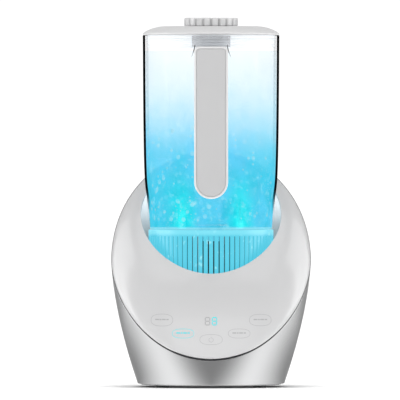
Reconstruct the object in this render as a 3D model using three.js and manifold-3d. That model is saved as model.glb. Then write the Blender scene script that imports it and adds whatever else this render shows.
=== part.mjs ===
// Cool mist humidifier: a lift-off clear tank with a handle, standing in the round well of a satin
// chrome base that has a white domed face. Millimetres, +Z up, front towards -Y, origin on the floor
// under the middle of the base.

import * as THREE from 'three';
import { mergeVertices } from 'three/addons/utils/BufferGeometryUtils.js';
import Module from 'manifold-3d';

const wasm = await Module();
wasm.setup();

// ---------------------------------------------------------------- driving dimensions

const GAP = 0.3; // between neighbouring pieces
const WALL = 2.5; // moulded walls of the base
const ROUND = 32; // sides of the large turned pieces
const SMALL_ROUND = 12; // sides of the small turned pieces
const SINK = 0.1; // how far a piece reaches into the one that it is moulded on

const BODY_RADIUS = 95.5; // widest part of the base
const BODY_WIDEST_Z = 123;
const BODY_BOTTOM_RADIUS = 69.6;
const BODY_BOTTOM_Z = 3;
const BODY_TAPER_POWER = 1.62;
const BODY_TOP_DRAFT = 2; // how much narrower the base is 100 mm above its widest part

const PARTING_LOW = { y: -77.5, z: 26.7 }; // where the face meets the chrome at the front
const PARTING_SLOPE = 1.154;
const PARTING_BOW = 3.4;
const PARTING_MIDDLE_Y = 8;
const PARTING_HALF_Y = 85.5;
const FACE_WALL = 2.6;
const FACE_FULLNESS = 2.3; // exponent of the face's horizontal sections
// The face's middle line: two Beziers of [y, z] points.
const FACE_FRONT = [[PARTING_LOW.y, PARTING_LOW.z], [-66.3, 109.4], [-6.8, 148.7], [40, 184.5]];
const FACE_TOP = [[40, 184.5], [62, 201.3], [84, 221.5], [93.6, 224]];

const TANK_Y = 21; // axis of the tank and of the well, behind the axis of the base
const WELL_RADIUS = 66.5;
const WELL_FLOOR_Z = 96.5;
const BASIN_RADIUS = 50;
const BASIN_FLOOR_Z = 60;

const JAR_BOTTOM_Z = 149.3;
const JAR_TOP_Z = 334;
const JAR_WALL = 3;
const JAR_OUTLINE = [[58.9, 152], [60.6, 176], [63.2, 199], [64.4, 250], [65, JAR_TOP_Z]]; // radius, z
const COMB_RADIUS = 59.4;
const COMB_THICKNESS = 3.8;
const COMB_BOTTOM_Z = 98;
const COMB_SLOTS = 72;
const COMB_SLOT_WIDTH = 1.3;
const COMB_SLOT_Z = [102, 143.5];

const MIST_TUBE_RADIUS = 11;
const MIST_TUBE_BORE = 9.2;
const CHIMNEY_RADIUS = 8.8;
const CHIMNEY_TOP_Z = 146;
const HOOD_RADIUS = 19.5;

const LID_RADIUS = 65;
const LID_TOP_Z = 342.5;
const LID_FLAT_RADIUS = 47.5;
const CAP_HOLE = 13.4;
const PLUG_RADIUS = 60.6;
const PLUG_BOTTOM_Z = 322;
const NOZZLE_RADIUS = 25.7;
const NOZZLE_TOP_Z = 350.5;
const NOZZLE_FLUTES = 20;
const NOZZLE_FLUTE_DEPTH = 1.3;
const SPIGOT = { outer: 13, inner: 11.5 };

const HANDLE_FRONT_Y = -BODY_RADIUS;
const HANDLE_THICKNESS = 14;
const HANDLE_HALF_WIDTH = 16;
const HANDLE_Z = [179, 325.5];
const HANDLE_CORNER = 5;
const HANDLE_RIM = 1.9; // frame left round the handle's inlay
const HANDLE_SCREW_HEIGHTS = [304, 315];

const VALVE_Y = TANK_Y + 36;
const VALVE_TRAVEL = 3; // how far the post in the well lifts the plunger off its seat
const VALVE_SEAT_Z = 154.6;
const VALVE_POST_Z = 103.5;
const FAN = { x: -30, y: 26, radius: 20.5 };
const AIR_PIPE = { outer: 9.4, inner: 8 };
const FLOAT = { x: 30, y: 26, radius: 9 };
const LIGHT = { x: 27.4, y: 0, radius: 4 };
const FEET = { x: 46, y: 38, radius: 6.25 };
const LEGS = [[-36, -30], [36, -30], [-54, 14], [54, 14]]; // legs of the well, each with a screw
const PANEL = { y: -60.5, z: 56, lean: THREE.MathUtils.degToRad(17) }; // board behind the touch keys
const BOARD_THICKNESS = 1.6;
const TOUCH_KEYS = { // places on that board
  power: [0, -12.2],
  timer: [-26.5, -6],
  level: [26.5, -6],
  light: [-46.5, 8.2],
  ion: [46.5, 8.2],
};
const JACK_Z = 18;
const COVER_Z = [2, 5]; // underside and inside of the bottom cover
const FAN_SEAT_Z = 8.7;
const BOARD_POSTS = [[8, -16], [44, -16], [8, 36], [44, 30]];
const BOARD_POST_Z = 11.7;
const TRANSDUCER_ROUND = 18; // sides of the round pieces over and round the transducer

// ---------------------------------------------------------------- making solids

function solidOf(geometry) {
  const bare = geometry.clone();
  bare.deleteAttribute('normal');
  bare.deleteAttribute('uv');
  const merged = mergeVertices(bare, 1e-4);
  const place = merged.attributes.position.array;
  const corners = [];
  for (let i = 0; i < merged.index.count; i += 3) {
    const [a, b, c] = [0, 1, 2].map((k) => merged.index.getX(i + k));
    if (a !== b && b !== c && c !== a) corners.push(a, b, c);
  }
  if (volumeOf(place, corners) < 0) corners.reverse();
  return new wasm.Manifold(new wasm.Mesh({
    numProp: 3,
    vertProperties: new Float32Array(place),
    triVerts: new Uint32Array(corners),
  }));
}

function volumeOf(place, corners) {
  const [a, b, c] = [new THREE.Vector3(), new THREE.Vector3(), new THREE.Vector3()];
  let six = 0;
  for (let i = 0; i < corners.length; i += 3) {
    [a, b, c].forEach((point, k) => point.fromArray(place, 3 * corners[i + k]));
    six += a.dot(b.cross(c));
  }
  return six / 6;
}

function geometryOf(solid) {
  const mesh = solid.getMesh();
  const geometry = new THREE.BufferGeometry();
  geometry.setAttribute('position', new THREE.BufferAttribute(new Float32Array(mesh.vertProperties), 3));
  geometry.setIndex(new THREE.BufferAttribute(new Uint32Array(mesh.triVerts), 1));
  geometry.computeVertexNormals();
  return geometry;
}

function join(...solids) {
  return solids.reduce((whole, solid) => whole.add(solid));
}

function cut(solid, ...tools) {
  return tools.reduce((rest, tool) => rest.subtract(tool), solid);
}

// A closed outline of [radius, z] points turned about a vertical axis.
function turned(outline, x = 0, y = 0, sides = SMALL_ROUND) {
  const points = [...outline, outline[0]].map(([radius, z]) => new THREE.Vector2(radius, z));
  const geometry = new THREE.LatheGeometry(points, sides);
  return solidOf(geometry.rotateX(Math.PI / 2).translate(x, y, 0));
}

function ring(outer, inner, low, high, x = 0, y = 0, sides = SMALL_ROUND) {
  return turned([[inner, low], [outer, low], [outer, high], [inner, high]], x, y, sides);
}

function rod(radius, low, high, x = 0, y = 0, sides = SMALL_ROUND) {
  return turned([[0, low], [radius, low], [radius, high], [0, high]], x, y, sides);
}

function block(width, depth, height, x, y, z) {
  return solidOf(new THREE.BoxGeometry(width, depth, height).translate(x, y, z));
}

// An outline drawn in (y, z) and extruded along X, centred on X = 0.
function sideways(outline, width) {
  const shape = new THREE.Shape(outline.map(([y, z]) => new THREE.Vector2(y, z)));
  const geometry = new THREE.ExtrudeGeometry(shape, { depth: width, bevelEnabled: false });
  const turn = new THREE.Matrix4().set(0, 0, 1, -width / 2, 1, 0, 0, 0, 0, 1, 0, 0, 0, 0, 0, 1);
  return solidOf(geometry.applyMatrix4(turn));
}

// A shape drawn in (x, z), extruded from a front face at frontY back by depth.
function forward(shape, frontY, depth) {
  const geometry = new THREE.ExtrudeGeometry(shape, { depth, bevelEnabled: false, curveSegments: 8 });
  return solidOf(geometry.rotateX(Math.PI / 2).translate(0, frontY + depth, 0));
}

// A rod along Y.
function crossRod(radius, frontY, backY, x, z, sides = SMALL_ROUND) {
  const geometry = new THREE.CylinderGeometry(radius, radius, backY - frontY, sides);
  return solidOf(geometry.translate(x, (frontY + backY) / 2, z));
}

// Where the rising function f is zero.
function bisect(f, low, high) {
  let [below, above] = [low, high];
  for (let i = 0; i < 30; i += 1) {
    const middle = (below + above) / 2;
    if (f(middle) > 0) above = middle;
    else below = middle;
  }
  return (below + above) / 2;
}

// ---------------------------------------------------------------- outer form of the base

function bodyRadius(z) {
  if (z > BODY_WIDEST_Z) return BODY_RADIUS - BODY_TOP_DRAFT * ((z - BODY_WIDEST_Z) / 100) ** 2;
  const share = (BODY_WIDEST_Z - z) / (BODY_WIDEST_Z - BODY_BOTTOM_Z);
  return BODY_RADIUS - (BODY_RADIUS - BODY_BOTTOM_RADIUS) * share ** BODY_TAPER_POWER;
}

// The slanted, slightly bowed surface where the white face meets the chrome shell.
function partingZ(y) {
  const bow = PARTING_BOW * (1 - ((y - PARTING_MIDDLE_Y) / PARTING_HALF_Y) ** 2);
  return PARTING_LOW.z + PARTING_SLOPE * (y - PARTING_LOW.y) + bow;
}

// Everything in front of and above the parting surface, shifted up by rise.
function inFrontOfParting(rise) {
  const reach = 130;
  const ceiling = 400;
  const steps = 14;
  const outline = [];
  for (let i = 0; i <= steps; i += 1) {
    const y = -reach + (2 * reach * i) / steps;
    outline.push([y, partingZ(y) + rise]);
  }
  outline.push([reach, ceiling], [-reach, ceiling]);
  return sideways(outline, 2 * reach);
}

const faceProfile = new THREE.CurvePath();
for (const stretch of [FACE_FRONT, FACE_TOP]) {
  faceProfile.add(new THREE.CubicBezierCurve(...stretch.map(([y, z]) => new THREE.Vector2(y, z))));
}

// Y of the face's middle line at height z, for a surface lying inset behind the outer one.
function faceMiddleY(z, inset) {
  const at = (t) => {
    const along = faceProfile.getTangent(t);
    return faceProfile.getPoint(t).add(new THREE.Vector2(along.y, -along.x).multiplyScalar(inset));
  };
  return at(bisect((t) => at(t).y - z, 0, 1)).x;
}

// Everything behind the domed face: horizontal sections are half super-ellipses that end on the
// parting surface, carried straight back.
function behindFace(inset, rows = 18, columns = 14) {
  const radius = (y) => bodyRadius(partingZ(y)) - inset;
  const lowY = bisect((y) => radius(y) + y, -110, -30);
  const highY = bisect((y) => y - radius(y), 30, 110);
  const backY = 112;
  const ends = 0.015; // share of the half turn left out at each end, where the sections shrink to nothing
  const points = [];
  for (let row = 0; row <= rows; row += 1) {
    const turn = Math.PI * (ends + ((1 - 2 * ends) * row) / rows);
    const y = (lowY + highY) / 2 - ((highY - lowY) / 2) * Math.cos(turn);
    const z = partingZ(y);
    const halfWidth = Math.sqrt(radius(y) ** 2 - y ** 2);
    const leastBulge = 0.02;
    const bulge = Math.max(leastBulge, y - faceMiddleY(z, inset));
    for (let column = 0; column <= columns; column += 1) {
      const angle = (Math.PI * column) / columns;
      const across = Math.sign(Math.cos(angle)) * Math.abs(Math.cos(angle)) ** (2 / FACE_FULLNESS);
      const out = Math.abs(Math.sin(angle)) ** (2 / FACE_FULLNESS);
      points.push(halfWidth * across, y - bulge * out, z);
    }
    points.push(-halfWidth, backY, z, halfWidth, backY, z);
  }
  return stackOfRows(points, rows, columns + 3);
}

// A closed solid through equal rows of points, with both ends fanned shut.
function stackOfRows(points, rows, perRow) {
  const index = [];
  for (let row = 0; row < rows; row += 1) {
    for (let i = 0; i < perRow; i += 1) {
      const [a, b] = [row * perRow + i, row * perRow + ((i + 1) % perRow)];
      index.push(a, b, b + perRow, a, b + perRow, a + perRow);
    }
  }
  for (let i = 1; i < perRow - 1; i += 1) {
    const top = rows * perRow;
    index.push(0, i + 1, i, top, top + i, top + i + 1);
  }
  const geometry = new THREE.BufferGeometry();
  geometry.setAttribute('position', new THREE.BufferAttribute(new Float32Array(points), 3));
  geometry.setIndex(index);
  return solidOf(geometry);
}

// ---------------------------------------------------------------- base

function baseShell() {
  const outer = [];
  const inner = [];
  const steps = 9;
  const top = 232;
  const [chamfer, chamferTop] = [1.2, BODY_BOTTOM_Z + 1.5];
  for (let i = 0; i <= steps; i += 1) {
    const z = BODY_BOTTOM_Z + ((top - BODY_BOTTOM_Z) * i) / steps;
    outer.push([bodyRadius(Math.max(z, chamferTop)) - (i === 0 ? chamfer : 0), z]);
    inner.unshift([bodyRadius(z) - WALL, z]);
  }
  outer.splice(1, 0, [bodyRadius(chamferTop), chamferTop]);
  const shell = turned([...outer, ...inner], 0, 0, ROUND);
  const jackHole = crossRod(5.6, 60, 90, 0, JACK_Z);
  return cut(shell, inFrontOfParting(-GAP), jackHole);
}

function faceCover() {
  const dome = behindFace(0).subtract(behindFace(FACE_WALL));
  const opening = rod(WELL_RADIUS, 20, 300, 0, TANK_Y, ROUND);
  return dome.intersect(inFrontOfParting(GAP)).subtract(opening);
}

function bottomCover() {
  const radius = bodyRadius(BODY_BOTTOM_Z) - WALL - GAP;
  const [low, high] = COVER_Z;
  const outline = [[0, low], [radius - 1, low], [radius, low + 1], [radius, high], [0, high]];
  const plate = turned(outline, 0, 0, ROUND);
  const fanSeat = ring(FAN.radius, FAN.radius - 1.4, high - SINK, FAN_SEAT_Z, FAN.x, FAN.y, 20);
  const posts = BOARD_POSTS.map(([x, y]) => rod(2.6, high - SINK, BOARD_POST_Z, x, y, 8));
  const past = high + 3;
  const holes = [];
  for (const [x, y] of LEGS) {
    const [shaft, head] = [1.8, 3.4];
    holes.push(rod(shaft, 0, past, x, y, 8), rod(head, 0, 3.9, x, y, 10));
  }
  for (const [x, y] of footPlaces()) {
    const [stem, bulbRoom] = [2.8, 3.8];
    holes.push(rod(stem, 0, past, x, y, 10), rod(bulbRoom, high, 12, x, y, 10));
  }
  const [inletRadius, slotWidth, slotPitch] = [14, 2.6, 5.2];
  for (let slot = -2; slot <= 2; slot += 1) {
    const offset = slotPitch * slot;
    const length = 2 * Math.sqrt(inletRadius ** 2 - offset ** 2);
    holes.push(block(slotWidth, length, past, FAN.x + offset, FAN.y, past / 2));
  }
  return cut(join(plate, fanSeat, ...posts), ...holes);
}

function footPlaces() {
  return [[-FEET.x, -FEET.y], [FEET.x, -FEET.y], [-FEET.x, FEET.y], [FEET.x, FEET.y]];
}

// A push-in rubber foot with a stem and a bulb above the bottom cover.
function foot(x, y) {
  const [stem, bulb] = [2.4, 3.3];
  const [padTop, bulbZ, top] = [COVER_Z[0] - GAP, COVER_Z[1] + GAP, 7.2];
  const outline = [[0, 0], [FEET.radius, 0], [FEET.radius, padTop], [stem, padTop], [stem, bulbZ],
    [bulb, bulbZ], [stem, top], [0, top]];
  return turned(outline, x, y, 14);
}

function bottomScrew(x, y) {
  const headZ = 2.3;
  const screw = turned([[0, headZ], [3, headZ], [3, 3.6], [1.25, 3.6], [1.25, 13], [0, 13.8]], x, y, 10);
  const slot = block(4, 0.8, 1.6, x, y, headZ);
  return cut(screw, slot);
}

// The white liner that the tank stands in, with the water basin, air pipe, valve post and legs.
function tankWell() {
  const out = WELL_RADIUS + WALL;
  const low = WELL_FLOOR_Z - WALL;
  const rim = 240;
  const [basin, basinLow] = [BASIN_RADIUS + WALL, BASIN_FLOOR_Z - WALL];
  const outline = [[BASIN_RADIUS, BASIN_FLOOR_Z], [BASIN_RADIUS, WELL_FLOOR_Z], [WELL_RADIUS, WELL_FLOOR_Z],
    [WELL_RADIUS, rim], [out, rim], [out, low], [basin, low], [basin, basinLow], [0, basinLow],
    [0, BASIN_FLOOR_Z]];
  const cup = turned(outline, 0, TANK_Y, ROUND);
  const trimmed = cup.intersect(behindFace(FACE_WALL + GAP + 0.2));
  const root = BASIN_FLOOR_Z - 1;
  const airPipe = rod(AIR_PIPE.outer, basinLow, 100, FAN.x, FAN.y, 18);
  const valvePost = turned([[0, root], [6, root], [3, 72], [3, VALVE_POST_Z], [0, VALVE_POST_Z]], 0, VALVE_Y);
  const floatPost = rod(2.2, root, 84, FLOAT.x, FLOAT.y);
  const legs = LEGS.map(([x, y]) => rod(4.2, COVER_Z[1] + GAP, low + 1, x, y));
  const holes = [
    rod(AIR_PIPE.inner, 20, 120, FAN.x, FAN.y, 18),
    rod(9, 20, 70, 0, TANK_Y, TRANSDUCER_ROUND),
    ...[-LIGHT.x, LIGHT.x].map((x) => rod(LIGHT.radius + GAP, 20, 70, x, LIGHT.y)),
    ...LEGS.map(([x, y]) => rod(1.6, 0, 15, x, y, 10)),
  ];
  return cut(join(trimmed, airPipe, valvePost, floatPost, ...legs), ...holes);
}

function transducerDisc() {
  return rod(10, 55.2, 56.3, 0, TANK_Y, TRANSDUCER_ROUND);
}

function transducerSeal() {
  return ring(12.6, 10.3, 54.6, BASIN_FLOOR_Z - WALL - GAP, 0, TANK_Y, TRANSDUCER_ROUND);
}

// Metal cup that presses the disc and its seal up against the basin's floor.
function transducerHolder() {
  const [hole, lip, out] = [8, 12.9, 15];
  const [low, seat, top] = [51.5, 54.3, BASIN_FLOOR_Z - WALL - GAP];
  const outline = [[hole, low], [out, low], [out, top], [lip, top], [lip, seat], [hole, seat]];
  return turned(outline, 0, TANK_Y, TRANSDUCER_ROUND);
}

// Bell over the transducer that gathers the mist and leads it up a chimney.
function mistHood() {
  const bottom = BASIN_FLOOR_Z + GAP;
  const wall = 1.6;
  const bell = turned([[HOOD_RADIUS - wall, bottom], [HOOD_RADIUS, bottom], [HOOD_RADIUS, 82],
    [CHIMNEY_RADIUS, 98], [CHIMNEY_RADIUS, CHIMNEY_TOP_Z], [CHIMNEY_RADIUS - wall, CHIMNEY_TOP_Z],
    [CHIMNEY_RADIUS - wall, 97.3], [HOOD_RADIUS - wall, 81.3]], 0, TANK_Y, 20);
  const waterWays = [block(7, 60, 8, 0, TANK_Y, bottom + 2), block(60, 7, 8, 0, TANK_Y, bottom + 2)];
  const airWindow = block(30, 10, 9, -20, TANK_Y + 3, 76);
  return cut(bell, ...waterWays, airWindow);
}

function waterFloat() {
  const [bore, low, high, chamfer] = [2.8, 60.6, 70.6, 1];
  const outline = [[bore, low], [FLOAT.radius - chamfer, low], [FLOAT.radius, low + chamfer],
    [FLOAT.radius, high - chamfer], [FLOAT.radius - chamfer, high], [bore, high]];
  return turned(outline, FLOAT.x, FLOAT.y, 16);
}

function floatClip() {
  return ring(5, 2.5, 80.5, 82, FLOAT.x, FLOAT.y);
}

function fanHousing() {
  const low = FAN_SEAT_Z + GAP;
  const ringWall = ring(FAN.radius, FAN.radius - 1.7, low, 23, FAN.x, FAN.y, 20);
  const motor = rod(7.5, low, low + 3, FAN.x, FAN.y);
  const [strutLength, strutHeight] = [19.5, 1.6];
  const struts = [0, 1, 2].map((i) => {
    const strut = new THREE.BoxGeometry(strutLength, 2, strutHeight);
    strut.translate(strutLength / 2, 0, low + strutHeight / 2);
    return solidOf(strut.rotateZ((2 * Math.PI * i) / 3 + 0.4).translate(FAN.x, FAN.y, 0));
  });
  return join(ringWall, motor, ...struts);
}

function fanRotor() {
  const blades = 7;
  const pitch = 0.75;
  const hub = turned([[0, 12.5], [7.5, 12.5], [7.5, 21], [6.3, 22], [0, 22]], FAN.x, FAN.y);
  const vanes = [];
  for (let i = 0; i < blades; i += 1) {
    const vane = new THREE.BoxGeometry(11.2, 1.1, 9.5).rotateX(pitch).translate(12.2, 0, 17.2);
    vanes.push(solidOf(vane.rotateZ((2 * Math.PI * i) / blades).translate(FAN.x, FAN.y, 0)));
  }
  return join(hub, ...vanes);
}

// Funnel from the fan up to the air pipe of the well.
function airDuct() {
  const { outer, inner } = AIR_PIPE;
  const [low, shoulder, neck, high] = [23.3, 27, 45, BASIN_FLOOR_Z - WALL - GAP];
  const wall = outer - inner;
  const outline = [[FAN.radius - wall, low], [FAN.radius, low], [FAN.radius, shoulder], [outer, neck],
    [outer, high], [inner, high], [inner, neck - 0.4], [FAN.radius - wall, shoulder - 0.4]];
  return turned(outline, FAN.x, FAN.y, 18);
}

function driverBoard() {
  const low = BOARD_POST_Z + GAP;
  const onBoard = low + BOARD_THICKNESS / 2;
  const board = block(44, 60, BOARD_THICKNESS, 26, 8, onBoard);
  const coil = rod(6, onBoard, 24, 38, -10);
  const capacitors = [[14, -14], [14, -3]].map(([x, y]) => rod(4, onBoard, 25, x, y, 10));
  const chips = [block(9, 9, 2, 40, 30, 14), block(10, 6, 9, 12, 30, 17)];
  return join(board, coil, ...capacitors, ...chips);
}

function heatSink() {
  const [depth, middleY, firstX, pitch] = [22, 12, 19, 5];
  const fins = [];
  for (let i = 0; i < 5; i += 1) fins.push(block(1.4, depth, 13, firstX + pitch * i, middleY, 22.5));
  return join(block(23, depth, 2.4, 29, middleY, 15.2), ...fins);
}

function ledBoard() {
  const middle = 50.3;
  const chips = [-LIGHT.x, LIGHT.x].map((x) => block(3.4, 3.4, 1.4, x, LIGHT.y, middle + 1.4));
  return join(block(66, 11, BOARD_THICKNESS, 0, LIGHT.y, middle), ...chips);
}

// Clear rod that carries light from its board up to the floor of the tank.
function lightPipe(x) {
  const { y, radius } = LIGHT;
  return turned([[0, 52.8], [radius, 52.8], [radius, 144], [radius - 1.5, 146], [0, 146]], x, y);
}

function dcJack() {
  const body = block(13, 15, 11, 0, 60, JACK_Z);
  const nose = crossRod(5.2, 67, 74, 0, JACK_Z, 16);
  const socket = crossRod(3.1, 62, 80, 0, JACK_Z, 14);
  const pin = crossRod(1, 60, 73, 0, JACK_Z, 8);
  return join(cut(join(body, nose), socket), pin);
}

// ---------------------------------------------------------------- touch panel, in its own leaning frame

// The panel frame: x to the right, y up the board, z out towards the face.
function onPanel() {
  const frame = new THREE.Group();
  frame.position.set(0, PANEL.y, PANEL.z);
  frame.rotation.x = Math.PI / 2 - PANEL.lean;
  frame.updateMatrix();
  return frame;
}

// How far the inner side of the face is from the board at panel place (x, y).
function panelReach(x, y) {
  const frame = onPanel();
  const room = (out) => {
    const spot = new THREE.Vector3(x, y, out).applyMatrix4(frame.matrix);
    const partingY = bisect((along) => partingZ(along) - spot.z, -110, 110);
    const half = Math.sqrt(bodyRadius(spot.z) ** 2 - partingY ** 2) - FACE_WALL;
    const bulge = partingY - faceMiddleY(spot.z, FACE_WALL);
    const share = 1 - Math.min(1, Math.abs(x) / half) ** FACE_FULLNESS;
    return partingY - bulge * share ** (1 / FACE_FULLNESS) - spot.y;
  };
  return bisect(room, 0, 30);
}

function controlBoard() {
  const outline = [[-30, -16], [30, -16], [53, -2], [53, 14], [-53, 14], [-53, -2]];
  const shape = new THREE.Shape(outline.map(([x, y]) => new THREE.Vector2(x, y)));
  const plate = new THREE.ExtrudeGeometry(shape, { depth: BOARD_THICKNESS, bevelEnabled: false });
  const board = solidOf(plate.translate(0, 0, -BOARD_THICKNESS));
  const chips = [block(12, 12, 2, 0, 5, -2.4), block(7, 5, 2, 24, 6, -2.4), block(16, 5, 6, -26, 8, -4.4)];
  return join(board, ...chips);
}

function displayModule() {
  const thickness = 4;
  return block(17, 11, thickness, 0, 7, GAP + thickness / 2);
}

// A spring pad that reaches from the board to just behind the face.
function touchPad([x, y]) {
  const [stem, radius, plate] = [2.6, 4.5, 1.2];
  const rims = [[radius, 0], [-radius, 0], [0, radius], [0, -radius]];
  const reach = Math.min(...rims.map(([dx, dy]) => panelReach(x + dx, y + dy))) - GAP;
  const low = reach - plate;
  const outline = [[0, GAP], [stem, GAP], [stem, low], [radius, low], [radius, reach], [0, reach]];
  return turned(outline, x, y, 10);
}

// ---------------------------------------------------------------- tank

function jarOutline(inset, steps = 7) {
  const curve = new THREE.SplineCurve(JAR_OUTLINE.map(([radius, z]) => new THREE.Vector2(radius, z)));
  return curve.getPoints(steps).map((point) => [point.x - inset, point.y]);
}

function tankJar() {
  const floorTop = JAR_BOTTOM_Z + JAR_WALL;
  const fillet = 2;
  const [footRadius] = JAR_OUTLINE[0];
  const outer = [[footRadius, JAR_BOTTOM_Z], ...jarOutline(0)];
  const inner = jarOutline(JAR_WALL).slice(1);
  const innerFoot = footRadius - JAR_WALL;
  inner.unshift([innerFoot - fillet, floorTop], [innerFoot, floorTop + fillet]);
  const jar = turned([[0, JAR_BOTTOM_Z], ...outer, ...inner.reverse(), [0, floorTop]], 0, TANK_Y, ROUND);
  const holes = [
    ...[TANK_Y, VALVE_Y].map((y) => rod(MIST_TUBE_RADIUS + GAP, 140, 160, 0, y, 18)),
    ...HANDLE_SCREW_HEIGHTS.map((z) => crossRod(2.1, TANK_Y - 70, TANK_Y - 55, 0, z)),
  ];
  return cut(jar, ...holes);
}

// The slotted ring that the tank stands on.
function footGrille() {
  const inner = COMB_RADIUS - COMB_THICKNESS;
  const top = JAR_BOTTOM_Z - GAP;
  const wall = turned([[inner, COMB_BOTTOM_Z], [COMB_RADIUS, COMB_BOTTOM_Z], [COMB_RADIUS, top], [inner, top]],
    0, 0, COMB_SLOTS);
  const [low, high] = COMB_SLOT_Z;
  const slots = [];
  const through = 2 * COMB_THICKNESS;
  for (let i = 0; i < COMB_SLOTS; i += 1) {
    const slot = new THREE.BoxGeometry(COMB_SLOT_WIDTH, through, high - low);
    slot.translate(0, -(COMB_RADIUS - COMB_THICKNESS / 2), (low + high) / 2);
    slots.push(solidOf(slot.rotateZ((2 * Math.PI * (i + 0.5)) / COMB_SLOTS)));
  }
  return cut(wall, ...slots).translate([0, TANK_Y, 0]);
}

function mistTube() {
  const [bore, out, flange] = [MIST_TUBE_BORE, MIST_TUBE_RADIUS, 16];
  const [low, flangeLow, flangeHigh, high] = [138, 154.3, 156.3, 327.5];
  const outline = [[bore, low], [out, low], [out, flangeLow], [flange, flangeLow], [flange, flangeHigh],
    [out, flangeHigh], [out, high], [bore, high]];
  return turned(outline, 0, TANK_Y, 18);
}

function tubeSeal() {
  const low = JAR_BOTTOM_Z + JAR_WALL + GAP;
  return ring(15.5, MIST_TUBE_RADIUS + GAP, low, low + 1.4, 0, TANK_Y, 18);
}

// Threaded neck in the floor of the tank, open at its lower end through four holes.
function valveSeat() {
  const [guide, bore, out, mouth, flange] = [2.3, 9, MIST_TUBE_RADIUS, 6.5, 15];
  const [low, shelf, flangeZ] = [110, 150, VALVE_SEAT_Z - 2];
  const outline = [[mouth, shelf], [mouth, VALVE_SEAT_Z], [flange, VALVE_SEAT_Z], [flange, flangeZ],
    [out, flangeZ], [out, low], [guide, low], [guide, low + 3], [bore, low + 3], [bore, shelf]];
  const neck = turned(outline, 0, VALVE_Y, 16);
  const offset = 6;
  const places = [[offset, 0], [-offset, 0], [0, offset], [0, -offset]];
  const holes = places.map(([x, y]) => rod(2, low - 10, low + 10, x, VALVE_Y + y, 8));
  return cut(neck, ...holes);
}

// Shown open: the post in the well holds it up by VALVE_TRAVEL.
function valvePlunger() {
  const [stem, collar, head] = [1.9, 6, 9];
  const [foot, collarZ] = [VALVE_POST_Z + GAP, 120];
  const headZ = VALVE_SEAT_Z + VALVE_TRAVEL + 2.1;
  const outline = [[0, foot], [stem, foot], [stem, collarZ], [collar, collarZ], [collar, collarZ + 1.5],
    [stem, collarZ + 1.5], [stem, headZ], [head, headZ], [head, headZ + 1.5], [3, headZ + 3], [0, headZ + 3]];
  return turned(outline, 0, VALVE_Y, 14);
}

function valveGasket() {
  const low = VALVE_SEAT_Z + VALVE_TRAVEL + GAP;
  return ring(9.4, 2.2, low, low + 1.5, 0, VALVE_Y, 14);
}

class Helix extends THREE.Curve {
  constructor(radius, low, high, turns) {
    super();
    Object.assign(this, { radius, low, high, turns });
  }

  getPoint(t, target = new THREE.Vector3()) {
    const angle = 2 * Math.PI * this.turns * t;
    const z = this.low + (this.high - this.low) * t;
    return target.set(this.radius * Math.cos(angle), this.radius * Math.sin(angle), z);
  }
}

function valveSpring() {
  const half = 0.45;
  const section = [[half, half], [-half, half], [-half, -half], [half, -half]];
  const wire = new THREE.Shape(section.map(([x, y]) => new THREE.Vector2(x, y)));
  const path = new Helix(4.6, 122.4, 149.1, 5);
  const geometry = new THREE.ExtrudeGeometry(wire, { steps: 60, extrudePath: path, bevelEnabled: false });
  return solidOf(geometry.translate(0, VALVE_Y, 0));
}

// ---------------------------------------------------------------- handle

function gripShape(inset) {
  const half = HANDLE_HALF_WIDTH - inset;
  const [low, high] = [HANDLE_Z[0] + inset, HANDLE_Z[1] - inset];
  const corner = HANDLE_CORNER - inset;
  const shape = new THREE.Shape();
  shape.absarc(0, low + half, half, Math.PI, 2 * Math.PI, false);
  shape.absarc(half - corner, high - corner, corner, 0, Math.PI / 2, false);
  shape.absarc(corner - half, high - corner, corner, Math.PI / 2, Math.PI, false);
  return shape;
}

function grip(inset, frontY, depth) {
  return forward(gripShape(inset), frontY, depth);
}

function handleBody() {
  const backY = HANDLE_FRONT_Y + HANDLE_THICKNESS;
  const jarY = TANK_Y - 55;
  const bar = grip(0, HANDLE_FRONT_Y, HANDLE_THICKNESS);
  const arm = sideways([[backY - 2, HANDLE_Z[1]], [backY - 2, 290], [backY + 5, 297], [backY + 12, 299.5],
    [jarY, 299.5], [jarY, 323.5], [backY + 4, 323.5]], 30);
  const plateRoom = block(36.6, 60, 80, 0, TANK_Y - 60, 320);
  const plate = rod(67.8, 300, 333, 0, TANK_Y, ROUND).intersect(plateRoom);
  const jarRoom = rod(65.3, 200, 400, 0, TANK_Y, ROUND);
  const recess = grip(HANDLE_RIM, HANDLE_FRONT_Y - 1, 2.6);
  const screwHoles = HANDLE_SCREW_HEIGHTS.map((z) => crossRod(1.8, -64, TANK_Y - 60, 0, z));
  return cut(join(bar, arm, plate), jarRoom, recess, ...screwHoles);
}

function handleFace() {
  return grip(HANDLE_RIM + GAP, HANDLE_FRONT_Y + 0.2, 1.1);
}

function handleScrew(z) {
  const headY = TANK_Y - 61.4;
  return join(crossRod(3.6, headY, headY + 2, 0, z), crossRod(1.4, -58, headY + 0.5, 0, z));
}

// ---------------------------------------------------------------- lid and nozzle

function lidCover() {
  const low = JAR_TOP_Z + GAP;
  const shoulder = new THREE.CubicBezierCurve(
    new THREE.Vector2(LID_RADIUS, low + 1),
    new THREE.Vector2(LID_RADIUS - 1.5, LID_TOP_Z - 4),
    new THREE.Vector2(LID_FLAT_RADIUS + 9.5, LID_TOP_Z),
    new THREE.Vector2(LID_FLAT_RADIUS, LID_TOP_Z),
  );
  const outline = [[LID_RADIUS - 0.3, low], ...shoulder.getPoints(4).map((p) => [p.x, p.y]),
    [CAP_HOLE, LID_TOP_Z], [CAP_HOLE, LID_TOP_Z - 2], [LID_FLAT_RADIUS, LID_TOP_Z - 2],
    [58, LID_TOP_Z - 4], [62, low + 1.5], [62, low]];
  return turned(outline, 0, TANK_Y, ROUND);
}

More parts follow.
